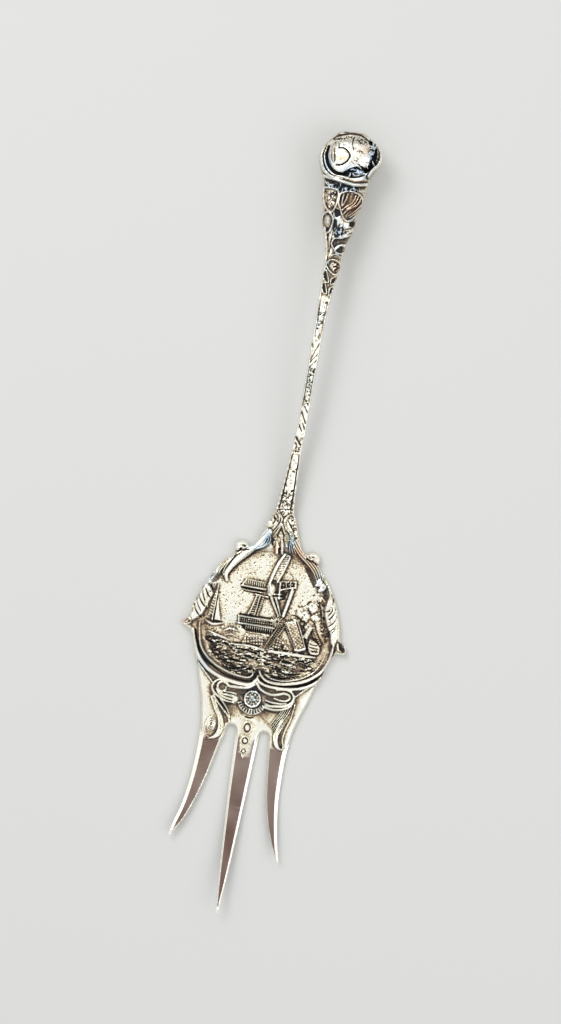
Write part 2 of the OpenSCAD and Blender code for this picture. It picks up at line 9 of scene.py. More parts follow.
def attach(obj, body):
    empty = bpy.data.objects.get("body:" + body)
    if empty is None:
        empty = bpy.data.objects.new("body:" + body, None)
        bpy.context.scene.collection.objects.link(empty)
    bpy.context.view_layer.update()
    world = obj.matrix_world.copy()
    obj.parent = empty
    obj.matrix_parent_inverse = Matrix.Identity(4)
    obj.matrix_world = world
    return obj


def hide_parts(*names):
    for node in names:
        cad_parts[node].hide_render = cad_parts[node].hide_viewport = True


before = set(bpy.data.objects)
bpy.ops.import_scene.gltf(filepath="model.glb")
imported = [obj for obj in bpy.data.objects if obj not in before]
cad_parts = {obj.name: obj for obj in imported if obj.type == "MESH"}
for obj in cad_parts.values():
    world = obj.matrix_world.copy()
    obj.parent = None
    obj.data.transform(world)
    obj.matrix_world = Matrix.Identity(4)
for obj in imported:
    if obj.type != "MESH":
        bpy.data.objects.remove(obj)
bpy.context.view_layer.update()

# The cast fork, in millimetres from the middle of its plate, +Y towards the rose
cast = {
    "plateY": -21.33,
    "gridStep": 0.125,
    "plateThick": 1.3,
    "rimThick": 0.55,
    "rimWidth": 0.55,
    "backRise": 0.42,
    "backWidth": 0.45,
    "fieldSink": 0.15,
    "fieldEdge": (14.2, 15.2),
    "neck": (14.2, 17.5),
    "stemStart": 15.3,
    "stemRoot": 0.65,
    "stemArch": 3.4,
    "archPower": 1.3,
    "roseY": 105.7,
    "roseZ": 5.8,
    "sectionY": (15, 23, 36, 76, 84, 92, 97, 101, 105.7, 108.5, 110.5, 111.6),
    "sectionDepth": (0.7, 1.15, 1.05, 1.1, 1.7, 2.8, 3.9, 5, 5.5, 4.6, 2.9, 0.5),
    "crownDrop": 0.95,
    "crownFrom": (93, 101),
    "tineTop": -30.1,
    "tineRoot": (-26.5, -29.5),
    "tineSplit": 4,
    "tineLift": 3.5,
    "tineLength": 38.8,
    "tipThick": 0.7,
    "bevelWidth": 0.66,
    "bevelShift": 0.38,
    "sharpAngle": 38,
    "mostTriangles": 190000,
    "seed": 7,
}
rng = np.random.default_rng(cast["seed"])


def spline(keys, steps=5):
    # smooth curve through the keys
    k = np.array(keys, float)
    pts = []
    for i in range(len(k) - 1):
        a, b, c, d = k[max(i - 1, 0)], k[i], k[i + 1], k[min(i + 2, len(k) - 1)]
        for j in range(steps):
            t = j / steps
            pts.append((2 * b + (c - a) * t + (2 * a - 5 * b + 4 * c - d) * t * t
                        + (3 * b - a - 3 * c + d) * t ** 3) / 2)
    pts.append(k[-1])
    return np.array(pts)


# Outline seen from above: down the right side, round the tines and up the left side
rightSide = spline([
    (2.74, 111.46), (3.88, 111.18), (5.02, 110.27), (6.39, 109.13), (7.76, 107.53), (8.22, 106.39),
    (7.99, 104.79), (6.85, 102.73), (6.16, 100.91), (5.82, 97.71), (5.48, 95.43), (4.79, 93.15),
    (4.57, 90.86), (4.34, 88.58), (3.42, 86.3), (3.2, 84.01), (3.08, 81.73), (2.74, 79.45), (2.28, 74.88),
    (1.83, 70.32), (1.6, 63.47), (1.6, 52.05), (1.6, 42.92), (1.48, 38.35), (1.6, 33.79), (1.83, 29.22),
    (2.05, 24.66), (2.74, 22.37), (3.65, 20.09), (4.45, 17.81), (5.48, 15.75), (6.62, 15.07)], 4)
rightFlank = spline([
    (6.62, 15.07), (7.53, 15.75), (8.9, 15.75), (9.82, 14.84), (9.82, 13.47), (10.16, 12.33), (11.3, 10.96),
    (13.01, 8.79), (14.27, 6.62), (15.41, 4.34), (16.32, 1.83), (17.01, -0.46), (17.46, -2.74),
    (18.04, -3.88), (19.02, -4.45), (19.25, -5.48), (18.61, -6.28), (17.12, -6.28), (16.32, -6.85),
    (15.87, -7.99), (15.3, -9.59), (14.61, -11.87), (13.81, -14.15), (13.13, -16.44), (12.44, -18.72),
    (11.64, -21), (10.96, -23.29), (10.39, -25.57), (10.05, -27.85), (9.7, -30.14), (9.54, -34.7),
    (9.7, -41.55), (10.5, -47.71), (11.42, -52.51), (12.21, -55.71)], 3)
tineGaps = spline([
    (12.21, -55.71), (10.39, -52.74), (9.13, -49.77), (7.88, -46.12), (6.73, -41.09), (5.75, -33.56),
    (5.3, -29.22), (5.07, -27.51), (4.63, -26.71), (3.95, -26.48), (3.26, -26.83), (2.88, -27.74),
    (2.74, -29.22), (2.56, -32.88), (2.24, -39.72), (1.8, -48.4), (1.21, -58.67), (0.59, -66.21),
    (0.23, -68.83), (-0.23, -66.21), (-0.84, -58.67), (-1.48, -48.4), (-1.99, -39.72), (-2.26, -32.88),
    (-2.42, -28.99), (-2.56, -27.28), (-2.97, -26.37), (-3.61, -26.03), (-4.29, -26.32), (-4.75, -27.17),
    (-5.07, -28.77), (-5.71, -30.82), (-6.51, -34.7), (-7.53, -39.27), (-8.86, -43.83), (-10.39, -47.94),
    (-11.87, -50.8), (-13.7, -53.42)], 3)
leftFlank = spline([
    (-13.7, -53.42), (-13.13, -50.23), (-11.87, -45.66), (-10.91, -39.27), (-10.55, -32.88),
    (-10.55, -29.68), (-10.73, -27.4), (-10.96, -25.34), (-11.37, -23.06), (-11.76, -21), (-12.44, -18.72),
    (-13.13, -16.44), (-13.81, -14.15), (-14.61, -11.87), (-15.3, -9.59), (-15.87, -7.99), (-16.44, -6.62),
    (-17.81, -5.82), (-19.18, -5.02), (-18.26, -4.22), (-17.58, -3.2), (-17.24, -1.83), (-16.89, -0.23),
    (-16.21, 2.05), (-15.41, 4.34), (-14.15, 6.62), (-13.01, 8.79), (-11.3, 10.96), (-9.93, 12.33),
    (-9.59, 13.47), (-9.82, 14.84), (-9.02, 15.75), (-7.53, 15.87), (-6.62, 15.07)], 3)
leftSide = spline([
    (-6.62, 15.07), (-5.48, 15.75), (-4.45, 17.81), (-3.65, 20.09), (-2.74, 22.37), (-2.17, 24.66),
    (-1.71, 29.22), (-1.26, 33.79), (-0.91, 38.35), (-0.57, 42.92), (-0.57, 52.05), (-0.57, 63.47),
    (-0.68, 70.32), (-0.8, 74.88), (-0.91, 79.45), (-1.03, 82.87), (-1.6, 85.61), (-2.51, 88.58),
    (-3.2, 90.86), (-3.2, 93.15), (-3.77, 95.43), (-4.11, 97.71), (-4.45, 100), (-5.25, 101.82),
    (-5.94, 103.88), (-5.89, 105.93), (-4.79, 107.99), (-3.2, 109.81), (-2.05, 110.95), (0.46, 111.3),
    (2.74, 111.46)], 4)
outline = np.concatenate([rightSide[:-1], rightFlank[:-1], tineGaps[:-1], leftFlank[:-1], leftSide[:-1]])

step = cast["gridStep"]
low = np.floor((outline.min(0) - 2 * step) / step)
count = (np.ceil((outline.max(0) + 2 * step) / step) - low).astype(int)
gridX, gridY = np.meshgrid((low[0] + np.arange(count[0] + 1)) * step,
                           (low[1] + np.arange(count[1] + 1)) * step, indexing="ij")


def window(pts, reach):
    # the part of the grid within reach of some points
    pts = np.asarray(pts, float).reshape(-1, 2)
    a = np.clip(np.floor((pts.min(0) - reach) / step) - low, 0, count).astype(int)
    b = np.clip(np.ceil((pts.max(0) + reach) / step) - low, 0, count).astype(int)
    return np.s_[a[0]:b[0] + 1, a[1]:b[1] + 1]


def nearest(path, reach):
    # distance to a path and length along it, over the part of the grid round it
    box = window(path, reach)
    x, y = gridX[box], gridY[box]
    dist, along = np.full(x.shape, 1e3), np.zeros(x.shape)
    gone = 0.0
    for a, b in zip(path[:-1], path[1:]):
        d = b - a
        size = math.hypot(*d)
        if size < 1e-6:
            continue
        t = np.clip(((x - a[0]) * d[0] + (y - a[1]) * d[1]) / size ** 2, 0, 1)
        r = np.hypot(x - a[0] - t * d[0], y - a[1] - t * d[1])
        closer = r < dist
        dist[closer] = r[closer]
        along[closer] = gone + t[closer] * size
        gone += size
    return box, dist, along, gone


def isInside(poly, x, y):
    # true where a point lies in a closed shape
    odd = np.zeros(x.shape, bool)
    for (ax, ay), (bx, by) in zip(poly, np.roll(poly, -1, 0)):
        if ay != by:
            odd ^= ((ay > y) != (by > y)) & (x < (bx - ax) * (y - ay) / (by - ay) + ax)
    return odd


def edgeDistance(poly, reach):
    # signed distance to an outline, positive inside, cut off at reach
    best = np.full(gridX.shape, float(reach))
    for a, b in zip(poly, np.roll(poly, -1, 0)):
        box, dist, _, _ = nearest(np.array([a, b]), reach)
        best[box] = np.minimum(best[box], dist)
    return np.where(isInside(poly, gridX, gridY), best, -best)


def smooth(a, b, v):
    # 0 before a, 1 after b, eased between
    t = np.clip((v - a) / (b - a), 0, 1)
    return t * t * (3 - 2 * t)


def bow(taper, t):
    # start, middle and end value, blended along t
    return taper[0] * (1 - t) ** 2 + 2 * taper[1] * t * (1 - t) + taper[2] * t * t


print("outline and bare body")
inset = edgeDistance(outline, 2.5)
# bare plate and tines
tineShare = np.clip((cast["tineTop"] - gridY) / cast["tineLength"], 0, 1)
thick = cast["plateThick"] + (cast["tipThick"] - cast["plateThick"]) * tineShare
rim = cast["rimThick"] * thick / cast["plateThick"]
ground = thick - (thick - rim) * (1 - smooth(0, cast["rimWidth"], inset))
tineBevel = smooth(*cast["tineRoot"], gridY)
slopeX, slopeY = np.gradient(inset, step)
# the outer tines have a wide bevel outside and a narrow one inside
onLeft, onRight = gridX <= -cast["tineSplit"], gridX >= cast["tineSplit"]
outward = np.sign(slopeX) * (onLeft * 1.0 - onRight * 1.0)
bevel = cast["bevelWidth"] * (1 + cast["bevelShift"] * outward) * (0.35 + 0.65 * (1 - tineShare))
ground = ground * (1 - tineBevel) + tineBevel * thick * (0.7 + 0.3 * np.clip(inset / bevel, 0, 1))
under = cast["backRise"] * (1 - smooth(0, cast["backWidth"], inset))
fieldR = np.hypot(gridX, gridY)
ground -= cast["fieldSink"] * (1 - smooth(*cast["fieldEdge"], fieldR))
# stem, calyx and rose: oval section on a bowed axis
rows = gridY[0]
order = np.argsort(rightSide[:, 1])
right = np.interp(rows, rightSide[order, 1], rightSide[order, 0])
order = np.argsort(leftSide[:, 1])
left = np.interp(rows, leftSide[order, 1], leftSide[order, 0])
middle, half = (left + right) / 2, np.maximum((right - left) / 2, 0.05)
share = np.clip((rows - cast["stemStart"]) / (cast["roseY"] - cast["stemStart"]), 0, 1)
axis = cast["stemRoot"] + (cast["roseZ"] - cast["stemRoot"]) * share
axis = axis + cast["stemArch"] * np.sin(np.pi * share) ** cast["archPower"]
depth = np.interp(rows, cast["sectionY"], cast["sectionDepth"])
across = np.clip(np.abs(gridX - middle) / half, 0, 1)
oval = np.sqrt(1 - across ** 2)
# room above the body for the petals and the cap carved on it
crown = depth - cast["crownDrop"] * smooth(*cast["crownFrom"], rows)
onStem = smooth(*cast["neck"], gridY)
ground = ground * (1 - onStem) + onStem * (axis + crown * oval)
under = np.maximum(under * (1 - onStem) + onStem * (axis - depth * oval), 0)
top = ground.copy()
soot = np.zeros(top.shape)


def band(q, at, wide):
    # 1 at a value, down to 0 at wide from it
    return np.clip(1 - np.abs(q - at) / wide, 0, 1)


def curve(keys):
    # two keys stay a straight line
    return spline(keys) if len(keys) > 2 else np.array(keys, float)


def stroke(keys, width, height, taper=(1, 1, 1), beads=0.0, dark=0.0, flat=False):
    # raised line, taper scales its width at start, middle and end, beads is a pitch along it
    box, dist, along, total = nearest(curve(keys), width)
    wide = width / 2 * np.maximum(bow(taper, along / total), 0.05)
    q = np.clip(dist / wide, 0, 1)
    rise = np.clip((1 - q) * 3, 0, 1) if flat else np.sqrt(1 - q * q)
    if beads:
        wave = np.cos(2 * np.pi * along / beads)
        rise = rise * (0.6 + 0.4 * wave)
    rise = height * np.minimum(1, 0.5 + wide / width) * rise
    hit = (dist < wide) & (inset[box] > -step)
    top[box] = np.where(hit, np.maximum(top[box], ground[box] + rise), top[box])
    soot[box] *= 1 - 0.85 * hit * np.clip(2 - 2 * q, 0, 1)
    if beads:
        soot[box] = np.maximum(soot[box], 0.5 * (0.5 - 0.5 * wave) * hit)
    if dark:
        soot[box] = np.maximum(soot[box], dark * (dist < wide * 1.15))


def groove(keys, width, depth, dark, taper=(0.7, 1, 0.5)):
    # engraved line
    box, dist, along, total = nearest(curve(keys), width)
    wide = width / 2 * np.maximum(bow(taper, along / total), 0.05)
    q = np.clip(dist / wide, 0, 1)
    top[box] -= depth * (0.5 + 0.5 * np.cos(np.pi * q)) * (dist < wide)
    soot[box] = np.maximum(soot[box], dark * (1 - q) * (dist < wide))


def stripes(angle, pitch, rise):
    # ridges of a pitch whose direction of change is at an angle
    c, s = math.cos(math.radians(angle)), math.sin(math.radians(angle))
    return lambda x, y: rise * (np.cos(2 * np.pi * (x * c + y * s) / pitch) - 1) / 2


def weave(angle, pitch, rise):
    # lattice of crossed grooves
    one, two = stripes(angle, pitch, 1), stripes(angle + 90, pitch, 1)
    return lambda x, y: rise * np.minimum(one(x, y), two(x, y))


def patchOf(corners, edge, curved):
    # where a patch lies on the grid, and its rise from 0 at the outline to 1 at edge from it
    loop = [*corners, corners[0]]
    poly = spline(loop) if curved else np.array(loop, float)
    box, dist, _, _ = nearest(poly, 0.6)
    inside = isInside(poly[:-1], gridX[box], gridY[box])
    return box, inside, np.where(inside, np.clip(dist / edge, 0, 1), 0)


def area(corners, height, edge, pattern=None, dark=0.0, ink=0.45, curved=False):
    # raised patch, ink is the dark in the low lines of its pattern
    box, inside, rise = patchOf(corners, edge, curved)
    body = ground[box] + height * rise
    soot[box] = np.maximum(soot[box], dark * rise)
    if pattern:
        relief = pattern(gridX[box], gridY[box])
        body = body + relief * rise
        soot[box] = np.maximum(soot[box], ink * (-relief / max(-relief.min(), 0.01)) ** 2 * rise)
    top[box] = np.where(inside, np.maximum(top[box], body), top[box])


def mound(corners, height, edge, dark=0.0):
    # raised patch with a curved outline
    area(corners, height, edge, None, dark, curved=True)


def sink(corners, depth, dark, edge=0.3, curved=True):
    # sunk patch, curved unless said otherwise
    box, _, rise = patchOf(corners, edge, curved)
    top[box] -= depth * rise
    soot[box] = np.maximum(soot[box], dark * rise)


def cell(corners, wide, dark, deep=0.12):
    # leaf shape with a raised bright outline round a dark ground
    sink(corners, deep, dark, 0.15)
    stroke([*corners, corners[0]], wide, 0.5)


def worms(corners, number, length, wide, dark, raised=0.0, lie=None):
    # short curved cuts or ridges strewn over a patch, in any direction or along one
    poly = np.array(corners, float)
    for _ in range(number):
        for _ in range(20):
            x, y = rng.uniform(poly.min(0), poly.max(0))
            if isInside(poly, np.array(x), np.array(y)):
                break
        else:
            continue
        a, turn = rng.uniform(0, 2 * np.pi), rng.uniform(-1.2, 1.2)
        if lie is not None:
            a, turn = lie + rng.normal(0, 0.2), turn * 0.25
        line = [(x, y)]
        for _ in range(3):
            x, y = x + math.cos(a) * length / 3, y + math.sin(a) * length / 3
            line.append((x, y))
            a += turn
        if raised:
            stroke(line, wide, raised, (0.7, 1, 0.7))
        else:
            groove(line, wide, 0.15, dark, (0.8, 1, 0.8))


scallop = {"bend": 0.2, "belly": 0.4, "rib": 0.1, "ribWidth": 0.16}


def lobe(a, b, width, height):
    # pointed lobe from its stalk at a to its tip at b, bent sideways, with a faint midrib
    a, b = np.array(a, float), np.array(b, float)
    d = b - a
    off = np.array([-d[1], d[0]]) * scallop["bend"]
    box, dist, along, total = nearest(spline([a, (a + b) / 2 + off, b], 8), width)
    t = np.clip(along / total, 0.02, 1) ** (math.log(0.5) / math.log(scallop["belly"]))
    wide = width / 2 * np.sin(np.pi * t) ** 0.8 + 0.04
    q = np.clip(dist / wide, 0, 1)
    rise = np.sqrt(1 - q ** 2 * 0.85) - scallop["rib"] * np.exp(-(dist / scallop["ribWidth"]) ** 2)
    hit = (dist < wide) & (inset[box] > -step)
    top[box] = np.where(hit, np.maximum(top[box], ground[box] + height * rise), top[box])


def mirrored(sign, *pts):
    # right side for 1, left side for -1
    return [(sign * x, y) for x, y in pts]


print("windmill picture")
# pitted sky and field
pitting = {"number": 1900, "radius": 14.6, "size": (0.1, 0.17), "deep": (0.05, 0.13), "dark": 5}
for _ in range(pitting["number"]):
    a, r = rng.uniform(0, 2 * np.pi), pitting["radius"] * math.sqrt(rng.uniform())
    x, y = r * math.cos(a), r * math.sin(a)
    size, deep = rng.uniform(*pitting["size"]), rng.uniform(*pitting["deep"])
    box = window([(x, y)], 0.5)
    dent = deep * np.exp(-((gridX[box] - x) ** 2 + (gridY[box] - y) ** 2) / size ** 2)
    top[box] -= dent
    soot[box] = np.maximum(soot[box], dent * pitting["dark"])

# upper sail: smooth stock, lattice strip, outer bar
area([(-0.11, 8.22), (0.91, 11.87), (2.05, 14.5), (3.2, 14.15), (2.28, 10.96), (1.26, 7.76)], 0.5, 0.15,
     stripes(104, 0.5, 0.2), ink=0.3)
stroke([(-0.68, 7.08), (-0.11, 9.59), (0.68, 12.1), (1.71, 14.27)], 0.95, 0.85, (0.8, 1, 0.75))
stroke([(1.05, 7.76), (1.94, 10.27), (2.92, 13.7)], 0.65, 0.72, (0.9, 1, 0.9))
for i in range(13):
    stroke([(0.35 + i * 0.147, 8.45 + i * 0.43), (0.92 + i * 0.147, 8.33 + i * 0.43)], 0.22, 0.6)
# left sail: lattice over a bar, a thin line under it
area([(-5.94, 7.19), (-1.6, 7.08), (-1.37, 5.94), (-6.62, 5.94)], 0.3, 0.15, stripes(6, 0.48, 0.3), 0.15)
stroke([(-5.94, 7.26), (-1.37, 7.08)], 0.4, 0.5, beads=0.48)
stroke([(-6.85, 5.71), (-1.37, 5.66)], 0.55, 0.85, (0.8, 1, 1))
groove([(-6.85, 5.25), (-1.6, 5.23)], 0.5, 0.3, 1, (0.8, 1, 0.8))
stroke([(-6.62, 4.89), (-1.83, 4.79)], 0.34, 0.45, (0.8, 1, 1), beads=0.6)
groove([(-6.16, 4.47), (-2.28, 4.43)], 0.4, 0.2, 0.9, (0.6, 1, 0.8))
stroke([(-5.94, 7.26), (-6.85, 5.59)], 0.4, 0.5)
# short right sail with its lattice
area([(2.05, 7.99), (5.02, 8.33), (5.02, 7.19), (2.28, 6.28)], 0.3, 0.2, weave(12, 0.66, 0.34), 0.35)
stroke([(2.05, 6.05), (3.42, 6.62), (5.25, 7.19)], 0.55, 0.8, (1, 1, 0.9))
stroke([(2.05, 8.06), (3.42, 8.17), (5.25, 8.45)], 0.42, 0.65, (1, 1, 0.9), beads=0.7)
stroke([(5.16, 8.45), (5.34, 7.08)], 0.5, 0.75)
stroke([(2.97, 8.22), (3.31, 6.62)], 0.3, 0.6)
stroke([(4, 8.33), (4.22, 6.92)], 0.3, 0.6)
# hub with its cap, small braces and the lower sail
mound([(-1.37, 6.39), (-1.03, 7.31), (0.11, 7.42), (0.91, 6.62), (1.03, 5.02), (0.34, 4), (-0.8, 4.57)],
      0.95, 0.9)
stroke([(1.76, 7.76), (1.87, 5.94), (2.05, 4)], 0.6, 0.9, (1, 1, 0.8))
stroke([(0.8, 4.91), (2.51, 5.14)], 0.42, 0.85, (1, 1, 0.9))
stroke([(0.91, 4.22), (2.63, 4.34)], 0.42, 0.85, (1, 1, 0.9))
sink([(2.4, 5.71), (3.88, 6.05), (3.42, 3.88), (2.63, 3.88)], 0.25, 0.9, curved=False)
stroke([(0.27, 4.11), (1.37, 2.17), (2.58, 0.11)], 0.75, 0.9, (1, 0.9, 0.5))
stroke([(1.32, 4), (2.17, 2.28), (2.97, 0.34)], 0.62, 0.9, (1, 0.9, 0.5))
groove([(0.82, 3.77), (1.83, 2.05), (2.67, 0.57)], 0.36, 0.3, 1)
# right bar
stroke([(4.75, 6.39), (4.25, 3.65), (3.65, 0.34)], 0.95, 0.95, (1, 0.95, 0.85), flat=True)
# tower: a ladder and two plain legs
area([(-2.97, 4), (-2.28, 4), (-2.81, -0.57), (-4.22, -0.57)], 0.3, 0.15, stripes(100, 0.52, 0.3), 0.25)
stroke([(-3.01, 4.11), (-3.49, 1.83), (-4.25, -0.57)], 0.42, 0.66)
stroke([(-2.28, 4.11), (-2.58, 1.6), (-2.83, -0.57)], 0.36, 0.6)
stroke([(-1.55, 4), (-1.87, 1.6), (-2.17, -0.57)], 0.55, 0.7, beads=0.5)
stroke([(-3.42, 4.22), (-0.46, 4)], 0.4, 0.55)
# gallery over a dark band
area([(-6.28, -1.26), (2.05, -1.14), (2.28, -2.85), (-6.05, -2.9)], 0.42, 0.15, weave(3, 0.5, 0.42), 0.2)
groove([(-6.16, -0.78), (-2.28, -0.68), (1.83, -0.68)], 0.42, 0.2, 1, (0.8, 1, 0.8))
stroke([(-6.39, -1.28), (2.17, -1.14)], 0.45, 0.75)
stroke([(-6.16, -2.83), (2.05, -2.79)], 0.5, 0.78)
stroke([(-6.28, -1.28), (-6.12, -2.83)], 0.42, 0.7)
sink([(-5.48, -3.13), (2.28, -3.08), (2.05, -4.43), (-4.11, -4.52), (-5.25, -3.88)], 0.3, 1.0, curved=False)
for i in range(13):
    x = -4.3 + i * 0.5
    stroke([(x, -3.2), (x + 0.05, -4.2)], 0.22, 0.22)
# fan over the braced pole
mound([(1.37, -0.23), (3.2, 0.23), (4.34, -1.14), (3.2, -2.74), (1.83, -2.51)], 0.25, 0.4, 0.4)
for i in range(14):
    a = math.radians(15 + i * 25)
    c = np.array((2.4, -1.14))
    ray = np.array([math.cos(a), math.sin(a)])
    stroke([tuple(c + ray * 0.45), tuple(c + ray * 1.5)], 0.24, 0.6, (1, 1, 0.5))
# brick base and braced pole
area([(-4.11, -4.79), (0, -4.79), (0.23, -7.31), (-4.79, -7.31)], 0.4, 0.25, weave(12, 0.65, 0.15),
     ink=0.85)
stroke([(-3.2, -5.59), (-1.37, -5.25), (0.46, -5.48)], 0.3, 0.5, (1, 1, 0.6))
stroke([(-2.74, -6.39), (-0.91, -5.94), (0.46, -6.16)], 0.3, 0.5, (1, 1, 0.6))
area([(2.74, -4.34), (4.79, -5.25), (6.73, -7.19), (2.05, -7.31)], 0.35, 0.25, weave(-6, 0.65, 0.15),
     ink=0.85)
sink([(4.34, -6.16), (4.98, -6.16), (5.02, -7.15), (4.29, -7.15)], 0.3, 1, 0.2, curved=False)
stroke([(3.31, -1.48), (2.05, -4.11), (0.8, -6.96)], 0.42, 0.85, beads=0.45)
stroke([(4.29, -2.17), (2.97, -4.79), (1.71, -7.19)], 0.42, 0.85, beads=0.45)
area([(3.54, -1.71), (4.18, -2.05), (1.55, -7.08), (0.96, -6.85)], 0.3, 0.15, stripes(62, 0.48, 0.3), 0.55)
# roofs and walls
area([(4.11, -0.8), (6.73, -0.11), (9.86, -6.05), (7.76, -6.73)], 0.6, 0.25, weave(-28, 0.62, 0.07),
     ink=0.7)
stroke([(4.11, -0.8), (5.71, -3.65), (7.72, -6.73)], 0.5, 0.8, beads=0.46)
stroke([(5.71, -0.46), (7.08, -2.97), (8.68, -6.16)], 0.32, 0.7, beads=0.46)
stroke([(7.08, -0.23), (8.45, -2.97), (9.89, -6.1)], 0.45, 0.85)
stroke([(7.65, -6.76), (8.68, -6.67), (9.7, -6.21)], 0.75, 0.8)
area([(9.13, -1.83), (10.16, -0.46), (10.96, -1.14), (9.93, -4.22), (9.02, -3.88)], 0.6, 0.3,
     stripes(60, 0.55, 0.12), ink=0.8)
stroke([(10.16, -0.8), (9.47, -2.51), (8.79, -4.11)], 0.5, 0.8, (0.9, 1, 0.7))
stroke([(10.96, -1.14), (11.87, -2.85), (13.01, -4.57)], 0.75, 0.82, (0.9, 1, 0.8), beads=0.5)
groove([(10.5, -2.05), (11.19, -3.42), (12.1, -4.45)], 0.5, 0.25, 1)
mound([(10.39, -3.65), (12.1, -4.22), (13.24, -5.48), (13.01, -7.08), (11.3, -7.31), (10.27, -5.71)], 0.55,
      0.25)
for i in range(5):
    x, y = 0.09 * i, -3.31 - 0.71 * i
    groove([(10.18 + x, y), (11.19, y - 0.27), (12.44 + x, y - 0.32)], 0.36, 0.2, 0.95, (0.8, 1, 0.6))
groove([(9.36, -4.34), (9.82, -5.37), (10.39, -6.51)], 0.65, 0.25, 0.9, (0.7, 1, 0.8))
# trees: low crowns, parted by dark ragged creases
trees = {"crown": 0.4, "crease": 0.36}
for x, y, wide, high in (
        (7.5, 1.8, 1.1, 1.4), (8.7, 1.1, 0.9, 1.4), (10, 3.4, 1.3, 1.4), (11, 1.1, 1.4, 0.9),
        (8.5, 3.2, 0.9, 0.9), (9.8, -1.1, 1.1, 0.9), (6.9, -0.2, 1.1, 0.6)):
    mound([(x + wide * math.cos(t), y + high * math.sin(t)) for t in np.linspace(0, 2 * np.pi, 7)[:-1]],
          trees["crown"], 0.5)
for line, wide in (
        ([(7.83, 3.2), (8.68, 3.97), (9.31, 4.79)], 1),
        ([(8.45, 3.2), (9.29, 2.51), (9.82, 1.71), (10, 0.46)], 1.6), ([(9.59, 4.06), (9.86, 3.42)], 1),
        ([(10.43, 1.96), (11.26, 2.67), (11.87, 2.63)], 1.3),
        ([(5.48, 0.91), (7.08, 0.73), (7.88, -0.27)], 1.2), ([(6.96, 2.4), (7.67, 2.01)], 0.9),
        ([(7.65, -0.23), (8.68, -0.23), (8.45, -2.05)], 2),
        ([(10.14, 0.55), (11.12, -0.32), (11.64, -1.83), (13.01, -3.88)], 1.3),
        ([(10.73, 5.02), (11.48, 4.11), (11.94, 2.97), (12.37, 0.68)], 1.5)):
    groove(line, trees["crease"] * wide, 0.2, 0.9, (0.6, 1, 0.5))
worms([(6.16, 0.46), (6.85, 3.65), (9.36, 5.25), (11.64, 3.65), (11.87, 0.46), (9.13, -1.83)], 60, 0.5,
      0.26, 0.6)
# boat with two sails, and a small one
area([(-12.33, 4.79), (-11.99, 4.79), (-11.99, -2.28), (-13.47, -2.51), (-13.13, 0.68)], 0.5, 0.2,
     stripes(75, 0.62, 0.25), 0.2)
stroke([(-12.05, 5.02), (-12.1, 1.37), (-12.19, -3.2)], 0.42, 0.85, (0.8, 1, 1))
area([(-11.76, 3.65), (-11.07, 0), (-10.16, -3.2), (-11.83, -3.2)], 0.5, 0.2)
stroke([(-13.47, -3.54), (-11.87, -4.11), (-9.59, -3.54)], 1.0, 0.75, (0.5, 1, 0.3))
groove([(-13.24, -3.1), (-11.64, -3.42), (-9.82, -3.2)], 0.35, 0.25, 0.9)
stroke([(-9.13, -5.25), (-7.76, -4.45), (-5.71, -4.79)], 0.7, 0.6, (0.4, 1, 0.3))
stroke([(-8.22, -3.65), (-7.53, -4.79)], 0.3, 0.5)
stroke([(-6.85, -3.42), (-6.96, -4.79)], 0.3, 0.5)
stroke([(-8.68, -6.16), (-7.31, -5.71), (-5.48, -6.28)], 0.6, 0.5, (0.4, 1, 0.3))
# banks and waves
stroke([(-6.16, -7.88), (-3.2, -7.65), (-0.46, -7.88), (1.14, -8.45)], 0.95, 0.6, (0.3, 1, 0.4))
groove([(-6.39, -7.42), (-3.2, -7.21), (0, -7.53)], 0.35, 0.25, 1)
stroke([(1.83, -8.22), (4.11, -7.94), (7.76, -7.94), (12.33, -7.76)], 1.1, 0.7, (0.4, 1, 0.5))
groove([(1.83, -7.53), (4.57, -7.4), (8.22, -7.49), (12.78, -7.19)], 0.36, 0.25, 1)
stroke([(-12.78, -5.71), (-10.5, -6.39), (-7.31, -7.08)], 0.9, 0.5, (0.3, 1, 0.3))
for a, b, c, d, w in (
        ((-6.85, -8.9), (-4.57, -8.68), (-2.28, -9.02), (0.46, -8.9), 0.7),
        ((-5.48, -10.27), (-3.2, -9.93), (-0.91, -10.27), (0.68, -10.96), 1.2),
        ((1.83, -9.7), (5.02, -9.93), (8.22, -9.59), (12.33, -8.68), 1.0),
        ((0, -11.19), (2.28, -11.19), (4.11, -11.76), (6.39, -11.87), 1.2),
        ((2.28, -12.44), (4.57, -12.21), (7.76, -12.56), (10.05, -11.87), 0.9),
        ((-12.78, -7.76), (-10.96, -8.22), (-8.68, -7.99), (-6.85, -8.22), 1.2),
        ((-10.96, -10.5), (-8.68, -10.96), (-5.94, -11.42), (-3.65, -11.42), 1.0),
        ((-6.39, -12.78), (-4.11, -13.13), (-2.28, -12.78), (-0.91, -12.78), 0.9),
        ((3.2, -13.7), (5.48, -13.81), (7.76, -13.24), (9.59, -12.56), 0.8)):
    groove([a, b, c, d], w, 0.3, 1, (0.4, 1, 0.4))
# small waves strewn over the water
waves = {"number": 260, "x": (-13.2414, 12.7848), "y": (7.3056, 14.3829), "radius": 13.9263,
         "span": (0.27396, 1.1415), "width": (0.28, 0.5), "height": (0.2, 0.5)}
for i in range(waves["number"]):
    x, y = rng.uniform(*waves["x"]), -rng.uniform(*waves["y"])
    if math.hypot(x, y) > waves["radius"]:
        continue
    span = rng.uniform(*waves["span"])
    line = [(x, y), (x + span * 0.5, y + rng.uniform(-0.05, 0.18)), (x + span, y - rng.uniform(0, 0.1))]
    stroke(line, rng.uniform(*waves["width"]), rng.uniform(*waves["height"]), (0.6, 1, 0.5))

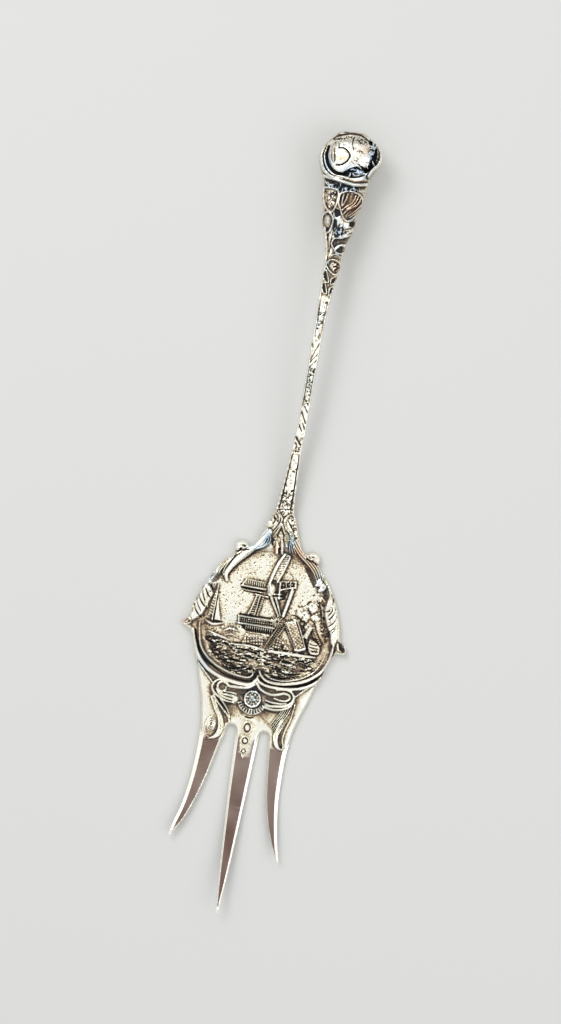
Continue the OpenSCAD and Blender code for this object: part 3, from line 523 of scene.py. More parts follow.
sea = [
    (-13.7, -6.39), (-6.85, -7.53), (0, -8.22), (13.24, -8.22), (12.33, -11.42), (6.85, -13.93),
    (0, -14.61), (-5.71, -14.15), (-11.42, -11.19)]
worms(sea, 120, 1.5, 0.3, 0.75, lie=0.0)
worms(sea, 110, 1.2, 0.3, 0, 0.5, lie=0.05)
worms([(-13.7, -7.31), (-4.57, -11.87), (-3.2, -13.7), (-6.85, -14.15), (-11.87, -11.42)], 40, 1.3, 0.32,
      0.9, lie=-0.3)
lowerRim = [(15 * math.cos(a), 15 * math.sin(a)) for a in np.radians(range(160, 395, 13))]
lowerRim += [(12.9 * math.cos(a), 12.9 * math.sin(a)) for a in np.radians(range(394, 159, -13))]
worms(lowerRim, 110, 0.6, 0.26, 0.6)

print("rims and scrolls")
# upper lip of the field is covered by the neck; the lower half has a doubled rim
stroke([(-14.84, -4.11), (-14.61, -6.16), (-13.7, -9.36), (-11.87, -11.64), (-9.13, -13.36), (-5.71, -14.5),
        (-2.74, -14.84), (-1.48, -14.61), (-0.91, -13.81), (-1.37, -13.01)], 0.75, 1.1, (0.6, 1, 0.7))
stroke([(-16.21, -5.94), (-15.07, -9.59), (-13.58, -12.1), (-11.42, -14.15), (-8.68, -15.52),
        (-5.71, -16.21), (-2.28, -16.44), (-0.68, -15.98), (0, -15.07)], 1.25, 0.95, (0.7, 1, 0.7))
groove([(-15.52, -5.94), (-14.38, -9.47), (-12.78, -11.87), (-10.27, -13.58), (-6.85, -15.07),
        (-2.74, -15.64), (-0.91, -15.3)], 0.6, 0.35, 1)
stroke([(16.1, -4.11), (15.75, -7.76), (14.38, -10.73), (11.87, -13.01), (9.13, -14.27), (5.71, -15.07),
        (2.74, -14.95), (1.14, -14.04), (0.46, -13.01)], 1.0, 1.1, (0.6, 1, 0.6))
stroke([(14.84, -5.94), (13.7, -9.59), (11.87, -11.87), (9.13, -13.47), (5.94, -14.27), (3.2, -14.15),
        (1.83, -13.47)], 0.5, 0.6, (0.5, 1, 0.7))
stroke([(16.55, -6.85), (15.87, -9.82), (14.15, -12.78), (11.42, -14.84), (7.99, -15.87), (3.42, -16.1),
        (1.14, -15.52), (0.23, -14.61)], 1.0, 0.9, (0.6, 1, 0.7))
groove([(16.44, -5.71), (15.75, -8.9), (14.15, -11.76), (11.64, -13.93), (8.22, -15.18), (3.65, -15.52),
        (1.37, -14.84)], 0.55, 0.35, 1)
# beaded strips under the rim
for sign in (1, -1):
    for i in range(13):
        t = i / 12
        x, y = sign * (13.7 - 4.1 * t), -(13.1 + 4.0 * t)
        stroke([(x, y), (x - sign * 0.4, y - 0.75)], 0.24, 0.42)
        soot[window([(x, y)], 0.3)] += 0.12
# left scroll: a ring with a dark eye, its arm and fingers
stroke([(-0.23, -16.21), (-1.14, -16.89), (-2.28, -17.26), (-4.34, -17.42), (-5.94, -17.35),
        (-6.39, -16.89), (-7.53, -16.67), (-8.33, -17.46), (-8.1, -18.49), (-7.19, -18.79), (-6.39, -18.33),
        (-6.51, -17.76)], 0.85, 1.0, (1, 1, 0.6))
stroke([(-5.48, -16.44), (-7.31, -16.12), (-8.9, -16.67), (-9.59, -18.04), (-9.02, -19.29), (-7.65, -20.2),
        (-5.94, -20.84), (-4.11, -21)], 0.85, 0.95, (0.4, 1.1, 0.5))
stroke([(-8.56, -18.49), (-7.88, -19.41), (-6.62, -20.04), (-4.79, -20.32)], 0.7, 0.95, (0.5, 1, 0.9))
stroke([(-7.99, -18.95), (-6.85, -19.41), (-5.25, -19.5), (-3.65, -19.63)], 0.7, 1.0, (0.5, 1, 1))
stroke([(-6.62, -18.83), (-5.25, -18.79), (-3.88, -18.9)], 0.6, 0.95, (0.5, 1, 1))
mound([(-5.02, -19.18), (-3.42, -19.06), (-2.85, -20.09), (-3.65, -21.35), (-4.79, -21)], 0.9, 0.6)
# right scroll: a long roll
stroke([(0.34, -15.75), (1.14, -16.78), (2.28, -17.4), (3.88, -17.76), (5.48, -17.53), (6.96, -17.05),
        (8.06, -17.31), (8.22, -18.04), (7.53, -18.63), (6.16, -18.72), (4.79, -18.45)], 0.8, 1.0,
       (1, 1, 0.6))
stroke([(5.02, -16.55), (7.08, -16.16), (8.56, -16.55), (9.25, -17.58), (8.9, -18.83), (7.76, -19.7),
        (6.16, -20.14), (3.88, -20.43)], 0.85, 0.95, (0.4, 1.1, 0.8))
stroke([(9.36, -18.49), (8.56, -19.86), (6.85, -20.78), (4.79, -21.09), (2.74, -20.89)], 0.8, 0.95,
       (0.5, 1, 0.8))
stroke([(7.76, -19.18), (6.16, -19.5), (4.57, -19.5), (2.97, -19.18)], 0.7, 0.95, (0.5, 1, 0.7))
mound([(2.74, -19.75), (4.11, -19.86), (4.57, -20.55), (3.42, -21), (2.51, -20.66)], 0.9, 0.6)
# rosette with a fringe below it
rosette = {"x": -0.05, "y": -19.45, "radius": 1.95, "height": 0.75, "petals": 11, "fringe": (2.55, 3.55)}
box = window([(rosette["x"], rosette["y"])], 4.6)
out = np.hypot(gridX[box] - rosette["x"], gridY[box] - rosette["y"])
turn = np.degrees(np.arctan2(gridY[box] - rosette["y"], gridX[box] - rosette["x"])) % 360
petals = np.cos(np.radians(turn) * rosette["petals"])
disc = rosette["height"] * (0.85 + 0.15 * np.cos(out * 2.6)) + 0.07 * petals * (out > 0.9)
disc += 0.05 * np.cos(out * 11)
hit = out < rosette["radius"]
top[box] = np.where(hit, ground[box] + disc, top[box])
soot[box] = np.where(out < rosette["radius"] + 0.1, np.maximum(soot[box], 0.5), soot[box])
worms([(-1.37, -17.81), (1.37, -17.81), (1.37, -20.32), (-1.37, -20.32)], 26, 0.6, 0.26, 0.55)
fringe = (out > rosette["fringe"][0]) & (out < rosette["fringe"][1]) & (turn > 200) & (turn < 340)
ticks = 0.3 + 0.45 * (np.cos(np.radians(turn) * 30) > -0.1)
top[box] = np.where(fringe, np.maximum(top[box], ground[box] + ticks), top[box])
soot[box] = np.maximum(soot[box], np.where(fringe, 0.24, 0))
stroke([(-3.08, -20.78), (-2.05, -22.26), (0, -23.06), (2.05, -22.26), (3.08, -20.78)], 0.35, 0.5,
       (0.6, 1, 0.6))
stroke([(-2.17, -20.55), (-1.26, -21.53), (0, -21.83), (1.26, -21.53), (2.17, -20.55)], 0.3, 0.6,
       (0.6, 1, 0.6))
groove([(-1.03, -23.7), (0, -23.83), (0.91, -23.7)], 0.6, 0.25, 0.9)
# sprays that run down to the outer tines
stroke([(-9.47, -18.26), (-8.68, -20.32), (-7.08, -22.03), (-5.71, -23.4), (-4.68, -24.66),
        (-4.41, -26.03)], 0.75, 0.85, (0.4, 1, 0.5))
stroke([(-8.22, -19.86), (-6.62, -21.23), (-5.14, -22.94), (-4.45, -24.43)], 0.65, 0.75, (0.4, 1, 0.5))
groove([(-7.53, -21.23), (-6.16, -22.6), (-5.25, -24.43)], 0.5, 0.3, 1)
for i in range(4):
    k = 0.42 * i
    line = [
        (-8.9, -20.09), (-7.53, -22.6), (-6.16, -24.66), (-5.59, -26.94), (-6.16, -28.88), (-7.76, -29.98)]
    stroke([(x - k * (0.5 + 0.5 * j / 5), y - 0.1 * i) for j, (x, y) in enumerate(line)], 0.42, 0.8,
           (0.5, 1, 0.8))
stroke([(-7.88, -29.79), (-9.13, -29.22), (-9.63, -27.4), (-9.25, -25.57), (-8.33, -24.77)], 0.36, 0.5,
       (0.9, 1, 0.7))
turns = np.linspace(0, 2 * np.pi, 9)
for k in (1, 0.68, 0.36):
    ring = [(-8.35 + 0.95 * k * math.cos(t), -26.6 + 1.55 * k * math.sin(t)) for t in turns]
    stroke(ring, 0.3, 0.36, dark=0.1)
for i in range(5):
    k = 0.4 * i
    line = [(7.31, -19.63), (6.73, -21.46), (5.82, -23.06), (4.91, -24.88)]
    stroke([(x + k * (1.15 - 0.1 * j), y + 0.05 * i - 0.12 * i * j) for j, (x, y) in enumerate(line)], 0.36,
           0.75, (0.5, 1, 0.6))
for i in range(4):
    k = 0.44 * i
    line = [(7.53, -22.83), (6.62, -25.11), (6.16, -27.17), (6.85, -29.11), (7.88, -29.91)]
    stroke([(x + k * (0.9 - 0.12 * j), y + 0.02 * i) for j, (x, y) in enumerate(line)], 0.38, 0.75,
           (0.5, 1, 0.9))
stroke([(9.7, -19.18), (9.36, -22.37), (8.56, -25.11), (8.22, -27.4), (8.68, -29.22), (7.99, -30.02)], 0.5,
       0.75, (0.5, 1, 0.8))

print("flank leaves, knobs and curls")
# left: broad leaf from the neck that ends in a hooked tip, with thin ribs outside it
stroke([(-2.74, 18.72), (-4.57, 16.21), (-7.08, 13.24), (-8.9, 11.19), (-10.16, 9.25), (-10.84, 7.65),
        (-10.39, 6.28)], 2.3, 1.15, (0.7, 1, 0.35))
stroke([(-3.2, 19.41), (-5.02, 16.89), (-7.31, 14.5), (-9.13, 12.56)], 0.8, 1.05, (0.5, 1, 0.6))
stroke([(-9.82, 12.78), (-11.42, 10.96), (-12.78, 9.13), (-13.36, 7.99)], 0.7, 0.85, (0.7, 1, 0.5))
stroke([(-9.59, 12.44), (-11.19, 10.27), (-12.21, 8.33), (-12.44, 7.31)], 0.62, 0.9, (0.7, 1, 0.5))
stroke([(-9.82, 11.87), (-11.07, 9.59), (-11.53, 7.99), (-11.42, 7.31)], 0.55, 0.9, (0.7, 1, 0.5))
groove([(-9.36, 9.36), (-9.93, 7.99), (-10.27, 6.85)], 0.35, 0.25, 0.7)
# right: thinner ribs, a dark hollow inside them and two scalloped tips
for i in range(4):
    line = [(2.97, 17.12), (4.79, 14.84), (6.85, 13.24), (8.56, 11.64), (9.59, 10.05), (10.16, 8.68)]
    stroke([(x + 0.33 * i, y + 0.42 * i) for x, y in line], 0.62, 0.95 - 0.05 * i, (0.8, 1, 0.5))
sink([(6.16, 12.56), (7.76, 11.87), (8.9, 10.5), (9.59, 8.68), (9.36, 7.76), (7.99, 9.59)], 0.25, 0.28)
lobe((10.5, 10.05), (9.7, 8.33), 1.5, 0.8)
lobe((11.42, 9.13), (10.5, 7.19), 1.5, 0.8)
sink([(11.19, 8.68), (12.1, 8.45), (13.01, 6.39), (12.78, 5.02), (11.64, 6.39)], 0.2, 0.25)
for sign in (1, -1):
    # knob of the volute
    stroke(mirrored(sign, (6.16, 14.61), (7.31, 15.18), (8.45, 15.25), (9.36, 14.61), (9.25, 13.81)), 1.3,
           1.25, (0.5, 1, 0.9))
    stroke(mirrored(sign, (7.76, 14.15), (8.45, 14.43), (8.9, 14.04)), 0.8, 1.1, (1, 1, 0.8))
    groove(mirrored(sign, (6.62, 14.04), (7.99, 13.7), (9.59, 13.13)), 0.5, 0.5, 1)
# left lower leaf: a light body with slanting cuts and free tips under a dark hollow
sink([(-14.5, 7.08), (-13.24, 7.53), (-11.87, 7.31), (-11.99, 5.94), (-13.24, 5.25), (-14.38, 5.71)], 0.2,
     0.22, 0.4)
mound([(-12.56, 9.59), (-13.7, 7.99), (-15.07, 5.71), (-15.98, 3.2), (-16.67, 0.68), (-17.35, -2.05),
       (-17.81, -3.88), (-16.78, -4.45), (-15.87, -3.77), (-14.61, -2.51), (-13.81, -0.68), (-13.36, 0.91),
       (-12.78, 2.85), (-13.7, 4.34), (-14.61, 5.25), (-14.04, 6.62), (-13.01, 7.99)], 0.8, 0.4)
stroke([(-12.1, 10.05), (-13.7, 8.1), (-15.18, 5.71), (-16.1, 3.2), (-16.78, 0.68), (-17.46, -2.05),
        (-17.92, -3.65)], 0.45, 0.85, (0.8, 1, 0.8))
for line, wide in (
        ([(-15.46, 4.34), (-15.3, 2.63), (-14.61, 0.91)], 0.36),
        ([(-14.84, 3.65), (-14.04, 2.28), (-13.24, 1.6)], 0.42),
        ([(-16.1, 2.05), (-15.52, 0.8), (-14.38, -0.46)], 0.55),
        ([(-16.44, 1.37), (-15.98, -0.23), (-15.07, -1.6)], 0.34),
        ([(-16.73, -0.23), (-16.21, -1.6), (-14.84, -3.08)], 0.55),
        ([(-17.01, -1.37), (-16.6, -2.63)], 0.36), ([(-17.26, -3.08), (-16.55, -4.22)], 0.42),
        ([(-13.7, 4.57), (-13.24, 3.65), (-13.58, 2.97)], 0.34)):
    groove(line, wide, 0.35, 0.95, (0.6, 1, 0.8))
for line in (
        [(-15.18, 3.2), (-14.27, 1.14), (-13.7, -0.46)], [(-15.98, 0.91), (-15.18, -0.91), (-14.61, -2.28)],
        [(-16.89, -2.05), (-16.1, -3.42)]):
    stroke(line, 0.5, 0.98, (0.4, 1, 0.6))
# right lower leaf: the same with finer cuts
mound([(11.42, 10.96), (12.78, 8.79), (14.38, 5.94), (15.64, 3.2), (16.44, 0), (16.89, -2.97),
       (15.98, -4.57), (15.18, -3.88), (14.73, -2.05), (13.93, -0.68), (13.13, 1.14), (12.6, 3.31),
       (13.01, 6.39), (12.44, 8.45)], 0.8, 0.35)
stroke([(11.3, 11.19), (12.9, 8.68), (14.61, 5.71), (15.75, 2.97), (16.51, 0), (17.01, -3.2)], 0.5, 0.86,
       (0.6, 1, 0.8))
for line, wide in (
        ([(14.2, 6.28), (14.36, 4.91)], 0.5), ([(13.7, 7.08), (13.79, 5.71)], 0.3),
        ([(12.78, 2.81), (13.88, 3.26)], 0.5), ([(14.57, 4.57), (14.43, 3.2), (13.7, 2.05)], 0.3),
        ([(15.14, 4), (14.95, 2.51), (14.04, 1.26)], 0.36),
        ([(15.71, 2.28), (15.34, 0.91), (14.27, -0.27)], 0.36),
        ([(15.96, 0.68), (15.52, -0.53), (14.61, -1.42)], 0.34), ([(15.89, -0.68), (15.18, -1.71)], 0.36)):
    groove(line, wide, 0.3, 0.95, (0.6, 1, 0.8))
# mottled dark ring between the right leaf and the sky
worms([(11.19, 6.85), (12.78, 6.39), (12.33, 3.2), (13.7, -0.46), (14.61, -3.2), (13.24, -3.65),
       (11.87, 0.91), (11.19, 3.65)], 70, 0.6, 0.28, 0.7)
# curls: scoops with a bright lip
sink([(-18.72, -4.11), (-18.04, -3.42), (-17.46, -4), (-18.15, -4.68)], 0.3, 0.35)
stroke([(-17.12, -2.74), (-18.15, -3.24), (-19.06, -4.22), (-18.72, -4.95), (-17.81, -5.09),
        (-16.89, -4.57)], 0.5, 0.9, (0.8, 1, 0.9))
sink([(17.01, -3.2), (18.15, -4.11), (18.72, -5.02), (18.26, -5.52), (17.35, -4.91)], 0.5, 0.75)
stroke([(16.78, -2.74), (17.58, -3.36), (18.49, -4.11), (19.02, -5.02), (18.72, -5.75), (17.81, -5.94),
        (16.89, -5.71)], 0.55, 0.95, (0.7, 1, 0.9))

print("ovals on the middle tine")
for x, y, wide, high in (
        (-0.09132, -26.14035, 1.026, 1.425), (-0.09132, -29.15391, 0.912, 1.026),
        (-0.04566, -31.5054, 0.684, 0.741)):
    box = window([(x, y)], 2.4)
    q = np.hypot((gridX[box] - x) / wide, (gridY[box] - y) / high)
    ring = 0.18 * band(q, 0.9, 0.14) - 0.14 * band(q, 0.68, 0.14)
    top[box] += np.where(q < 1.1, ring + 0.1 * (q < 0.4), 0)
    soot[box] = np.maximum(soot[box], 0.85 * band(q, 0.68, 0.2))
    soot[box] = np.maximum(soot[box], 0.5 * band(q, 1.12, 0.12) + 0.2 * (q < 0.5))
stroke([(-1.26, -27.17), (-1.21, -29.22), (-0.87, -31.05), (-0.05, -33.22)], 0.32, 0.25, (0.6, 1, 0.6))
stroke([(1.1, -27.17), (1.05, -29.22), (0.78, -31.05), (-0.05, -33.22)], 0.32, 0.25, (0.6, 1, 0.6))

print("stem, calyx and rose")


def alongStem(start, end, share):
    # points up the stem, share is how far out from its middle line to its side
    y = np.linspace(start, end, 12)
    return list(zip(np.interp(y, rows, middle) + share * np.interp(y, rows, half), y))


# neck: a strewn run between edge lines, then two lobes over a V of ribs
worms([(-1.83, 24.2), (-0.8, 29.22), (0.91, 29.22), (1.71, 24.2)], 70, 0.7, 0.26, 0.9)
groove([(-2.28, 23.86), (-0.68, 24.31), (0.68, 24.43), (1.71, 24.88)], 0.4, 0.2, 0.9)
for line in (
        [(-3.54, 20.09), (-3.2, 21.92), (-2.17, 23.51), (-1.14, 22.72), (-0.91, 21.46)],
        [(3.54, 20.09), (2.85, 22.26), (1.6, 23.51), (0.68, 22.37), (0.57, 21.69)],
        [(-1.03, 23.06), (-0.34, 22.03), (-0.91, 20.32), (-1.94, 18.72)],
        [(1.03, 23.17), (0.27, 22.03), (0.91, 20.2), (2.28, 18.95)],
        [(-0.23, 21), (-0.8, 19.41), (-1.6, 17.81)], [(-0.09, 20.89), (0.57, 19.41), (1.37, 18.26)]):
    stroke(line, 0.45, 0.55, (0.9, 1, 0.7))
for line, wide in (
        ([(-2.28, 22.6), (-1.83, 21.69), (-2.17, 20.78)], 0.5),
        ([(1.14, 21.92), (1.83, 20.78), (2.74, 19.75)], 0.45),
        ([(-0.59, 21.46), (-1.37, 19.86), (-2.4, 18.15)], 0.5),
        ([(0.57, 21), (1.37, 19.41), (2.63, 18.04)], 0.5),
        ([(-0.23, 19.86), (-0.68, 18.26), (-1.14, 17.12)], 0.6),
        ([(0.11, 19.63), (0.68, 18.26), (0.8, 17.12)], 0.5), ([(-1.71, 17.35), (-1.48, 15.98)], 1.1),
        ([(2.85, 18.26), (3.08, 16.67), (4.34, 14.84)], 0.7),
        ([(0.11, 17.12), (0.23, 15.52), (0.34, 14.38)], 0.4)):
    groove(line, wide, 0.22, 0.7, (0.8, 1, 0.7))
worms([(-3.2, 19.63), (-2.74, 22.37), (-1.6, 23.06), (-1.14, 21.69), (-2.51, 18.95)], 26, 0.5, 0.24, 0.8)
worms([(0.91, 22.37), (1.83, 23.06), (2.74, 21.92), (3.2, 19.18), (2.05, 19.63)], 28, 0.5, 0.24, 0.8)
worms([(-2.05, 24.2), (2.05, 24.2), (0.68, 22.6), (-0.68, 22.6)], 22, 0.5, 0.24, 0.9)
worms([(-1.37, 18.26), (-0.91, 20.55), (0.91, 20.55), (1.6, 17.81), (1.14, 14.61), (-1.37, 15.07)], 34, 0.6,
      0.28, 0.8)
worms([(-1.6, 17.81), (1.6, 18.26), (2.51, 15.07), (-0.91, 14.61)], 18, 0.8, 0.3, 0, 0.5)
for i in range(3):
    x = 0.45 * i
    stroke([(-2.97 - x, 18.7), (-2.33 - x, 17.7), (-2.28 - x * 1.15, 16.4), (-3.42 - x * 1.1, 15.2),
            (-5.25 - x, 14.3)], 0.42, 0.7, (0.6, 1, 0.8))
    stroke([(1.83 + x * 0.85, 19.2), (2.47 + x * 0.75, 17.8), (2.4 + x, 16.2), (2.74 + x * 1.5, 14.8)],
           0.42, 0.7, (0.6, 1, 0.8))
stroke([(0.34, 17.58), (0.73, 16.21), (0.98, 14.38)], 0.8, 0.8, (0.6, 1, 0.8))
stroke([(-0.57, 16.89), (-0.46, 15.52), (-0.23, 14.27)], 0.85, 0.6, (0.6, 1, 0.9))
# stem: bright edge lines, in turn framed panels and slanting cuts
for sign in (1, -1):
    stroke(alongStem(23.5, 76, 0.84 * sign), 0.42, 0.3)
    groove(alongStem(24.5, 37, 0.62 * sign), 0.36, 0.2, 0.85, (1, 1, 0.8))
    for start, end in ((48.2, 57), (64.4, 72.4)):
        groove(alongStem(start, end, 0.6 * sign), 0.32, 0.15, 0.6, (0.6, 1, 0.6))
for start, end, dark in ((48.4, 57, 0.32), (64.6, 70, 0.3), (37.5, 39, 0.4)):
    sink(alongStem(start, end, -0.6) + alongStem(start, end, 0.6)[::-1], 0.1, dark, curved=False)
for start, end, n in (
        (48.2, 57, 60), (66, 72.4, 26), (37, 39.2, 16), (40.4, 42, 7), (26, 36, 26), (63, 64.6, 10)):
    worms(alongStem(start, end, -0.5) + alongStem(start, end, 0.5)[::-1], n, 0.5, 0.26, 0.8)
for a, b, wide in (
        ((-0.18, 58.67), (1.19, 62.78), 0.3), ((-0.11, 58.22), (1.21, 60.27), 0.3),
        ((-0.07, 57.08), (1.21, 58.9), 0.34), ((-0.34, 62.55), (-0.18, 61.64), 0.36),
        ((-0.09, 46.8), (1.19, 44.29), 0.55), ((-0.23, 43.83), (0.64, 42.46), 0.5),
        ((0.55, 44.29), (1.14, 43.03), 0.5), ((0.34, 48.17), (1.19, 46.8), 0.4),
        ((-0.39, 40.98), (0.84, 39.38), 0.85), ((-0.23, 39.72), (0.11, 38.81), 0.5)):
    groove([a, b], wide, 0.2, 1, (0.9, 1, 0.9))
# small leaves up to the calyx, each with a bright outline round a dark ground
for line in (
        [(-0.73, 78.54), (-0.23, 79.33), (0.46, 78.08), (0.8, 76.71), (0.23, 76.71), (-0.46, 77.51)],
        [(-0.53, 76.02), (0, 76.59), (0.57, 75.11), (0.8, 74.08), (0.11, 74.2), (-0.34, 75)],
        [(1.26, 75.34), (2.17, 76.02), (2.05, 74.65), (1.37, 73.74)],
        [(1.26, 77.39), (2.51, 78.54), (2.4, 77.17), (1.48, 76.25)]):
    cell(line, 0.34, 0.26)
cell([(-0.41, 80.59), (0.34, 81.73), (1.6, 81.85), (2.97, 80.93), (2.97, 79.56), (1.83, 78.65),
      (0.46, 79.45)], 0.42, 0.15)
worms([(1.14, 81.5), (2.74, 80.82), (2.63, 79.68), (1.6, 79.22)], 22, 0.5, 0.3, 0.95)
cell([(1.05, 83.9), (1.32, 84.93), (2.28, 85.38), (3.7, 85.16), (3.2, 84.01), (2.05, 83.44)], 0.42, 0.3)
cell([(0, 85.38), (0.46, 86.64), (2.28, 87.12), (4.22, 89.04), (3.88, 86.07), (2.17, 85.5), (1.03, 84.24)],
     0.42, 0.26)
stroke([(0.3, 82.3), (1.14, 83.15), (2.85, 82.76)], 0.4, 0.6, (0.7, 1, 0.7))
groove([(0.34, 81.85), (1.6, 82.42), (2.74, 82.07)], 0.42, 0.2, 0.9)
stroke([(-2.17, 88.81), (-1.48, 86.53), (-0.91, 84.01), (-0.68, 81.27), (-0.59, 79.45)], 0.75, 0.55,
       (0.8, 1, 0.8))
worms([(-1.83, 89.04), (-0.91, 88.81), (-0.34, 81.73), (-0.8, 81.73)], 16, 0.5, 0.26, 0.7)
groove([(-0.11, 88.12), (-0.18, 85.84), (-0.07, 83.1)], 0.34, 0.2, 0.7)
# blue hollow with slanting ribs beside it
sink([(-0.11, 87.21), (0.23, 89.49), (1.14, 90.29), (2.4, 89.27), (2.05, 87.44), (0.91, 86.75)], 0.2, 0.3,
     0.5)
worms([(0, 87.21), (0.23, 89.72), (2.05, 89.72), (1.83, 87.21)], 14, 0.7, 0.34, 0, 0.3)
for a, b in (
        ((2.05, 87.44), (4.34, 89.38)), ((2.74, 88.81), (4.68, 89.61)), ((2.74, 87.32), (4.22, 88.35))):
    stroke([a, b], 0.4, 0.6, (0.9, 1, 0.8))
# calyx: left leaf, oval leaf, heart-shaped leaf and the dark hollows between them
cell([(-3.88, 97.71), (-2.05, 97.83), (-0.46, 97.26), (-0.3, 95.2), (-0.64, 93.26), (-1.37, 92.46),
      (-2.63, 93.37), (-3.54, 95.43)], 0.45, 0, deep=0.03)
worms([(-3.54, 97.26), (-0.8, 96.91), (-0.8, 93.37), (-1.6, 92.92), (-2.51, 93.83)], 34, 1, 0.3, 0.95)
cell([(-2.92, 91.78), (-1.83, 92.35), (-0.59, 91.09), (-0.68, 88.81), (-1.37, 87.67), (-2.4, 88.58),
      (-3.01, 90.18)], 0.45, 0.16)
heart = [
    (0.11, 96.8), (1.83, 97.71), (3.65, 97.6), (5.14, 96.8), (5.48, 94.86), (4.68, 93.03), (3.1, 91.09),
    (1.71, 91.55), (0.68, 93.37), (0, 94.97)]
cell(heart, 0.45, 0.05)
sink([(-0.11, 97.03), (3.54, 97.26), (2.74, 95.43), (1.6, 94.29), (0.57, 93.37), (0, 94.97)], 0.15, 0.15)
for line in (
        [(0.91, 96.8), (0.8, 95.43), (0.91, 94.06)], [(1.83, 97.03), (1.6, 95.66), (1.14, 94.29)],
        [(4.91, 96.8), (4.22, 94.97), (2.28, 93.37), (1.26, 91.89)],
        [(5.32, 95.43), (4.22, 93.72), (2.74, 92.12)],
        [(3.65, 97.03), (3.2, 95.43), (1.83, 94.06), (0.8, 92.8)],
        [(4.91, 94.06), (3.88, 92.69), (3.08, 91.78)], [(4.34, 97.03), (3.65, 95.09), (2.05, 93.6)]):
    stroke(line, 0.45, 0.9, (0.8, 1, 0.6))
for line in (
        [(4.57, 96.57), (3.88, 94.63), (2.4, 93.15), (2.05, 92.23)],
        [(5.14, 94.74), (4.11, 93.26), (3.08, 92.23)]):
    groove(line, 0.3, 0.25, 0.95)
for line in (
        [(-0.57, 93.37), (0.57, 93.15), (0.91, 91.89), (0, 91.32), (-0.57, 92.23)],
        [(3.2, 90.98), (4.45, 91.32), (4.34, 89.95), (3.2, 89.95)],
        [(-0.46, 91.09), (0.46, 90.86), (0.68, 89.04), (-0.23, 88.12)]):
    sink(line, 0.3, 0.95)
# collar over a blue band
sink([(-3.65, 98.85), (3.42, 98.97), (3.88, 97.48), (1.83, 97.6), (-0.46, 97.37), (-3.2, 97.94)], 0.25, 0.5)
worms([(-3.42, 98.63), (3.65, 98.63), (3.65, 97.71), (-3.2, 97.94)], 22, 0.8, 0.34, 0, 0.5)
stroke([(-4.34, 100.34), (-2.05, 99.88), (0.91, 99.42), (3.2, 99.31), (5.71, 100)], 1.15, 1.2,
       (0.6, 1, 0.6))
worms([(-3.65, 99.77), (-0.91, 99.54), (-0.91, 98.97), (-3.42, 99.08)], 8, 0.8, 0.26, 0.6)
# petals round the bud
stroke([(-5.21, 107.07), (-5.71, 105.02), (-5.09, 102.73), (-3.88, 101.02), (-2.05, 100.22), (0, 100.22)],
       0.95, 1.5, (0.6, 1, 0.4))
groove([(-5.14, 104.33), (-4.57, 102.28), (-2.74, 100.79), (-0.91, 100.45)], 0.42, 0.3, 0.7)
groove([(-4.22, 107.07), (-4.43, 105.02), (-3.65, 102.96), (-2.17, 101.55), (-0.46, 101.25),
        (1.83, 101.37)], 1.5, 1.1, 1, (0.5, 1, 0.7))
groove([(0.23, 101.59), (2.05, 102.62), (3.88, 103.31), (5.02, 102.73)], 1.7, 0.9, 1, (0.6, 1, 0.5))
worms([(-0.23, 101.59), (2.05, 102.73), (4.11, 103.42), (4.34, 102.28), (1.83, 101.59)], 9, 1, 0.5, 0, 0.5)
groove([(1.37, 100.79), (3.2, 101.14), (4.79, 101.94)], 0.7, 0.35, 0.6)
groove([(5.02, 109.81), (6, 108.21), (6.3, 106.16), (5.89, 104.1), (4.79, 102.96)], 2.5, 1.4, 0.9,
       (0.5, 1, 0.6))
worms([(5.02, 109.58), (5.94, 109.13), (6.39, 106.39), (5.94, 103.88), (5.02, 103.65)], 12, 1, 0.5, 0, 0.4)
stroke([(5.02, 110.04), (6.96, 108.9), (7.76, 107.07), (7.65, 105.02), (6.39, 103.31), (5.71, 101.82)], 1.1,
       1.6, (0.5, 1, 0.6))
groove([(7.08, 108.44), (7.19, 106.39), (6.73, 104.56)], 0.3, 0.3, 0.7)
groove([(-1.99, 107.03), (-0.59, 107.03), (0.66, 105.89), (0.5, 104.56), (-0.68, 103.31), (-1.94, 103.08)],
       0.7, 0.5, 0.95, (0.6, 1, 0.6))
stroke([(-3.2, 106.62), (-3.04, 105.02), (-2.63, 103.65)], 0.8, 0.7, (0.5, 1, 0.4))
worms([(-1.37, 108.67), (3.2, 109.13), (4.34, 106.39), (2.74, 103.19), (0.46, 102.96)], 26, 0.8, 0.22, 0.3)
# creased cap over the bud
groove([(-2.85, 109.7), (-0.68, 110.5), (1.6, 110.84), (3.65, 110.27), (4.79, 109.36)], 0.9, 0.5, 0.7)
groove([(1.14, 110.04), (0.87, 108.67), (1.37, 107.07)], 0.42, 0.35, 0.9)
worms([(-3.42, 109.58), (0, 111.18), (3.65, 110.73), (4.79, 108.9), (3.88, 108.21), (0.91, 109.58),
       (-2.97, 108.21)], 60, 0.8, 0.3, 0.8)
worms([(-3.88, 108.9), (-1.83, 109.36), (-1.37, 107.53), (-3.65, 107.3)], 16, 0.6, 0.26, 0.5)

# polished faces of the tines
tongue = [
    (-1.37, -27.4), (1.37, -27.4), (1.23, -30.14), (0.91, -31.73), (0, -33.33), (-0.91, -31.73),
    (-1.23, -30.14)]
rootLine = np.where(onLeft | onRight, -29.5, -28)
polish = smooth(0, -0.6, gridY - rootLine) * (1 - isInside(np.array(tongue), gridX, gridY))

# where the skin is pitted: the sky most, the plain ground less
inField = 1 - smooth(14.8, 15.3, fieldR)
pitted = np.maximum(inField * (1 + 0.5 * smooth(-6.5, -8.5, gridY)), 0.4 * smooth(-31, -29.5, gridY))


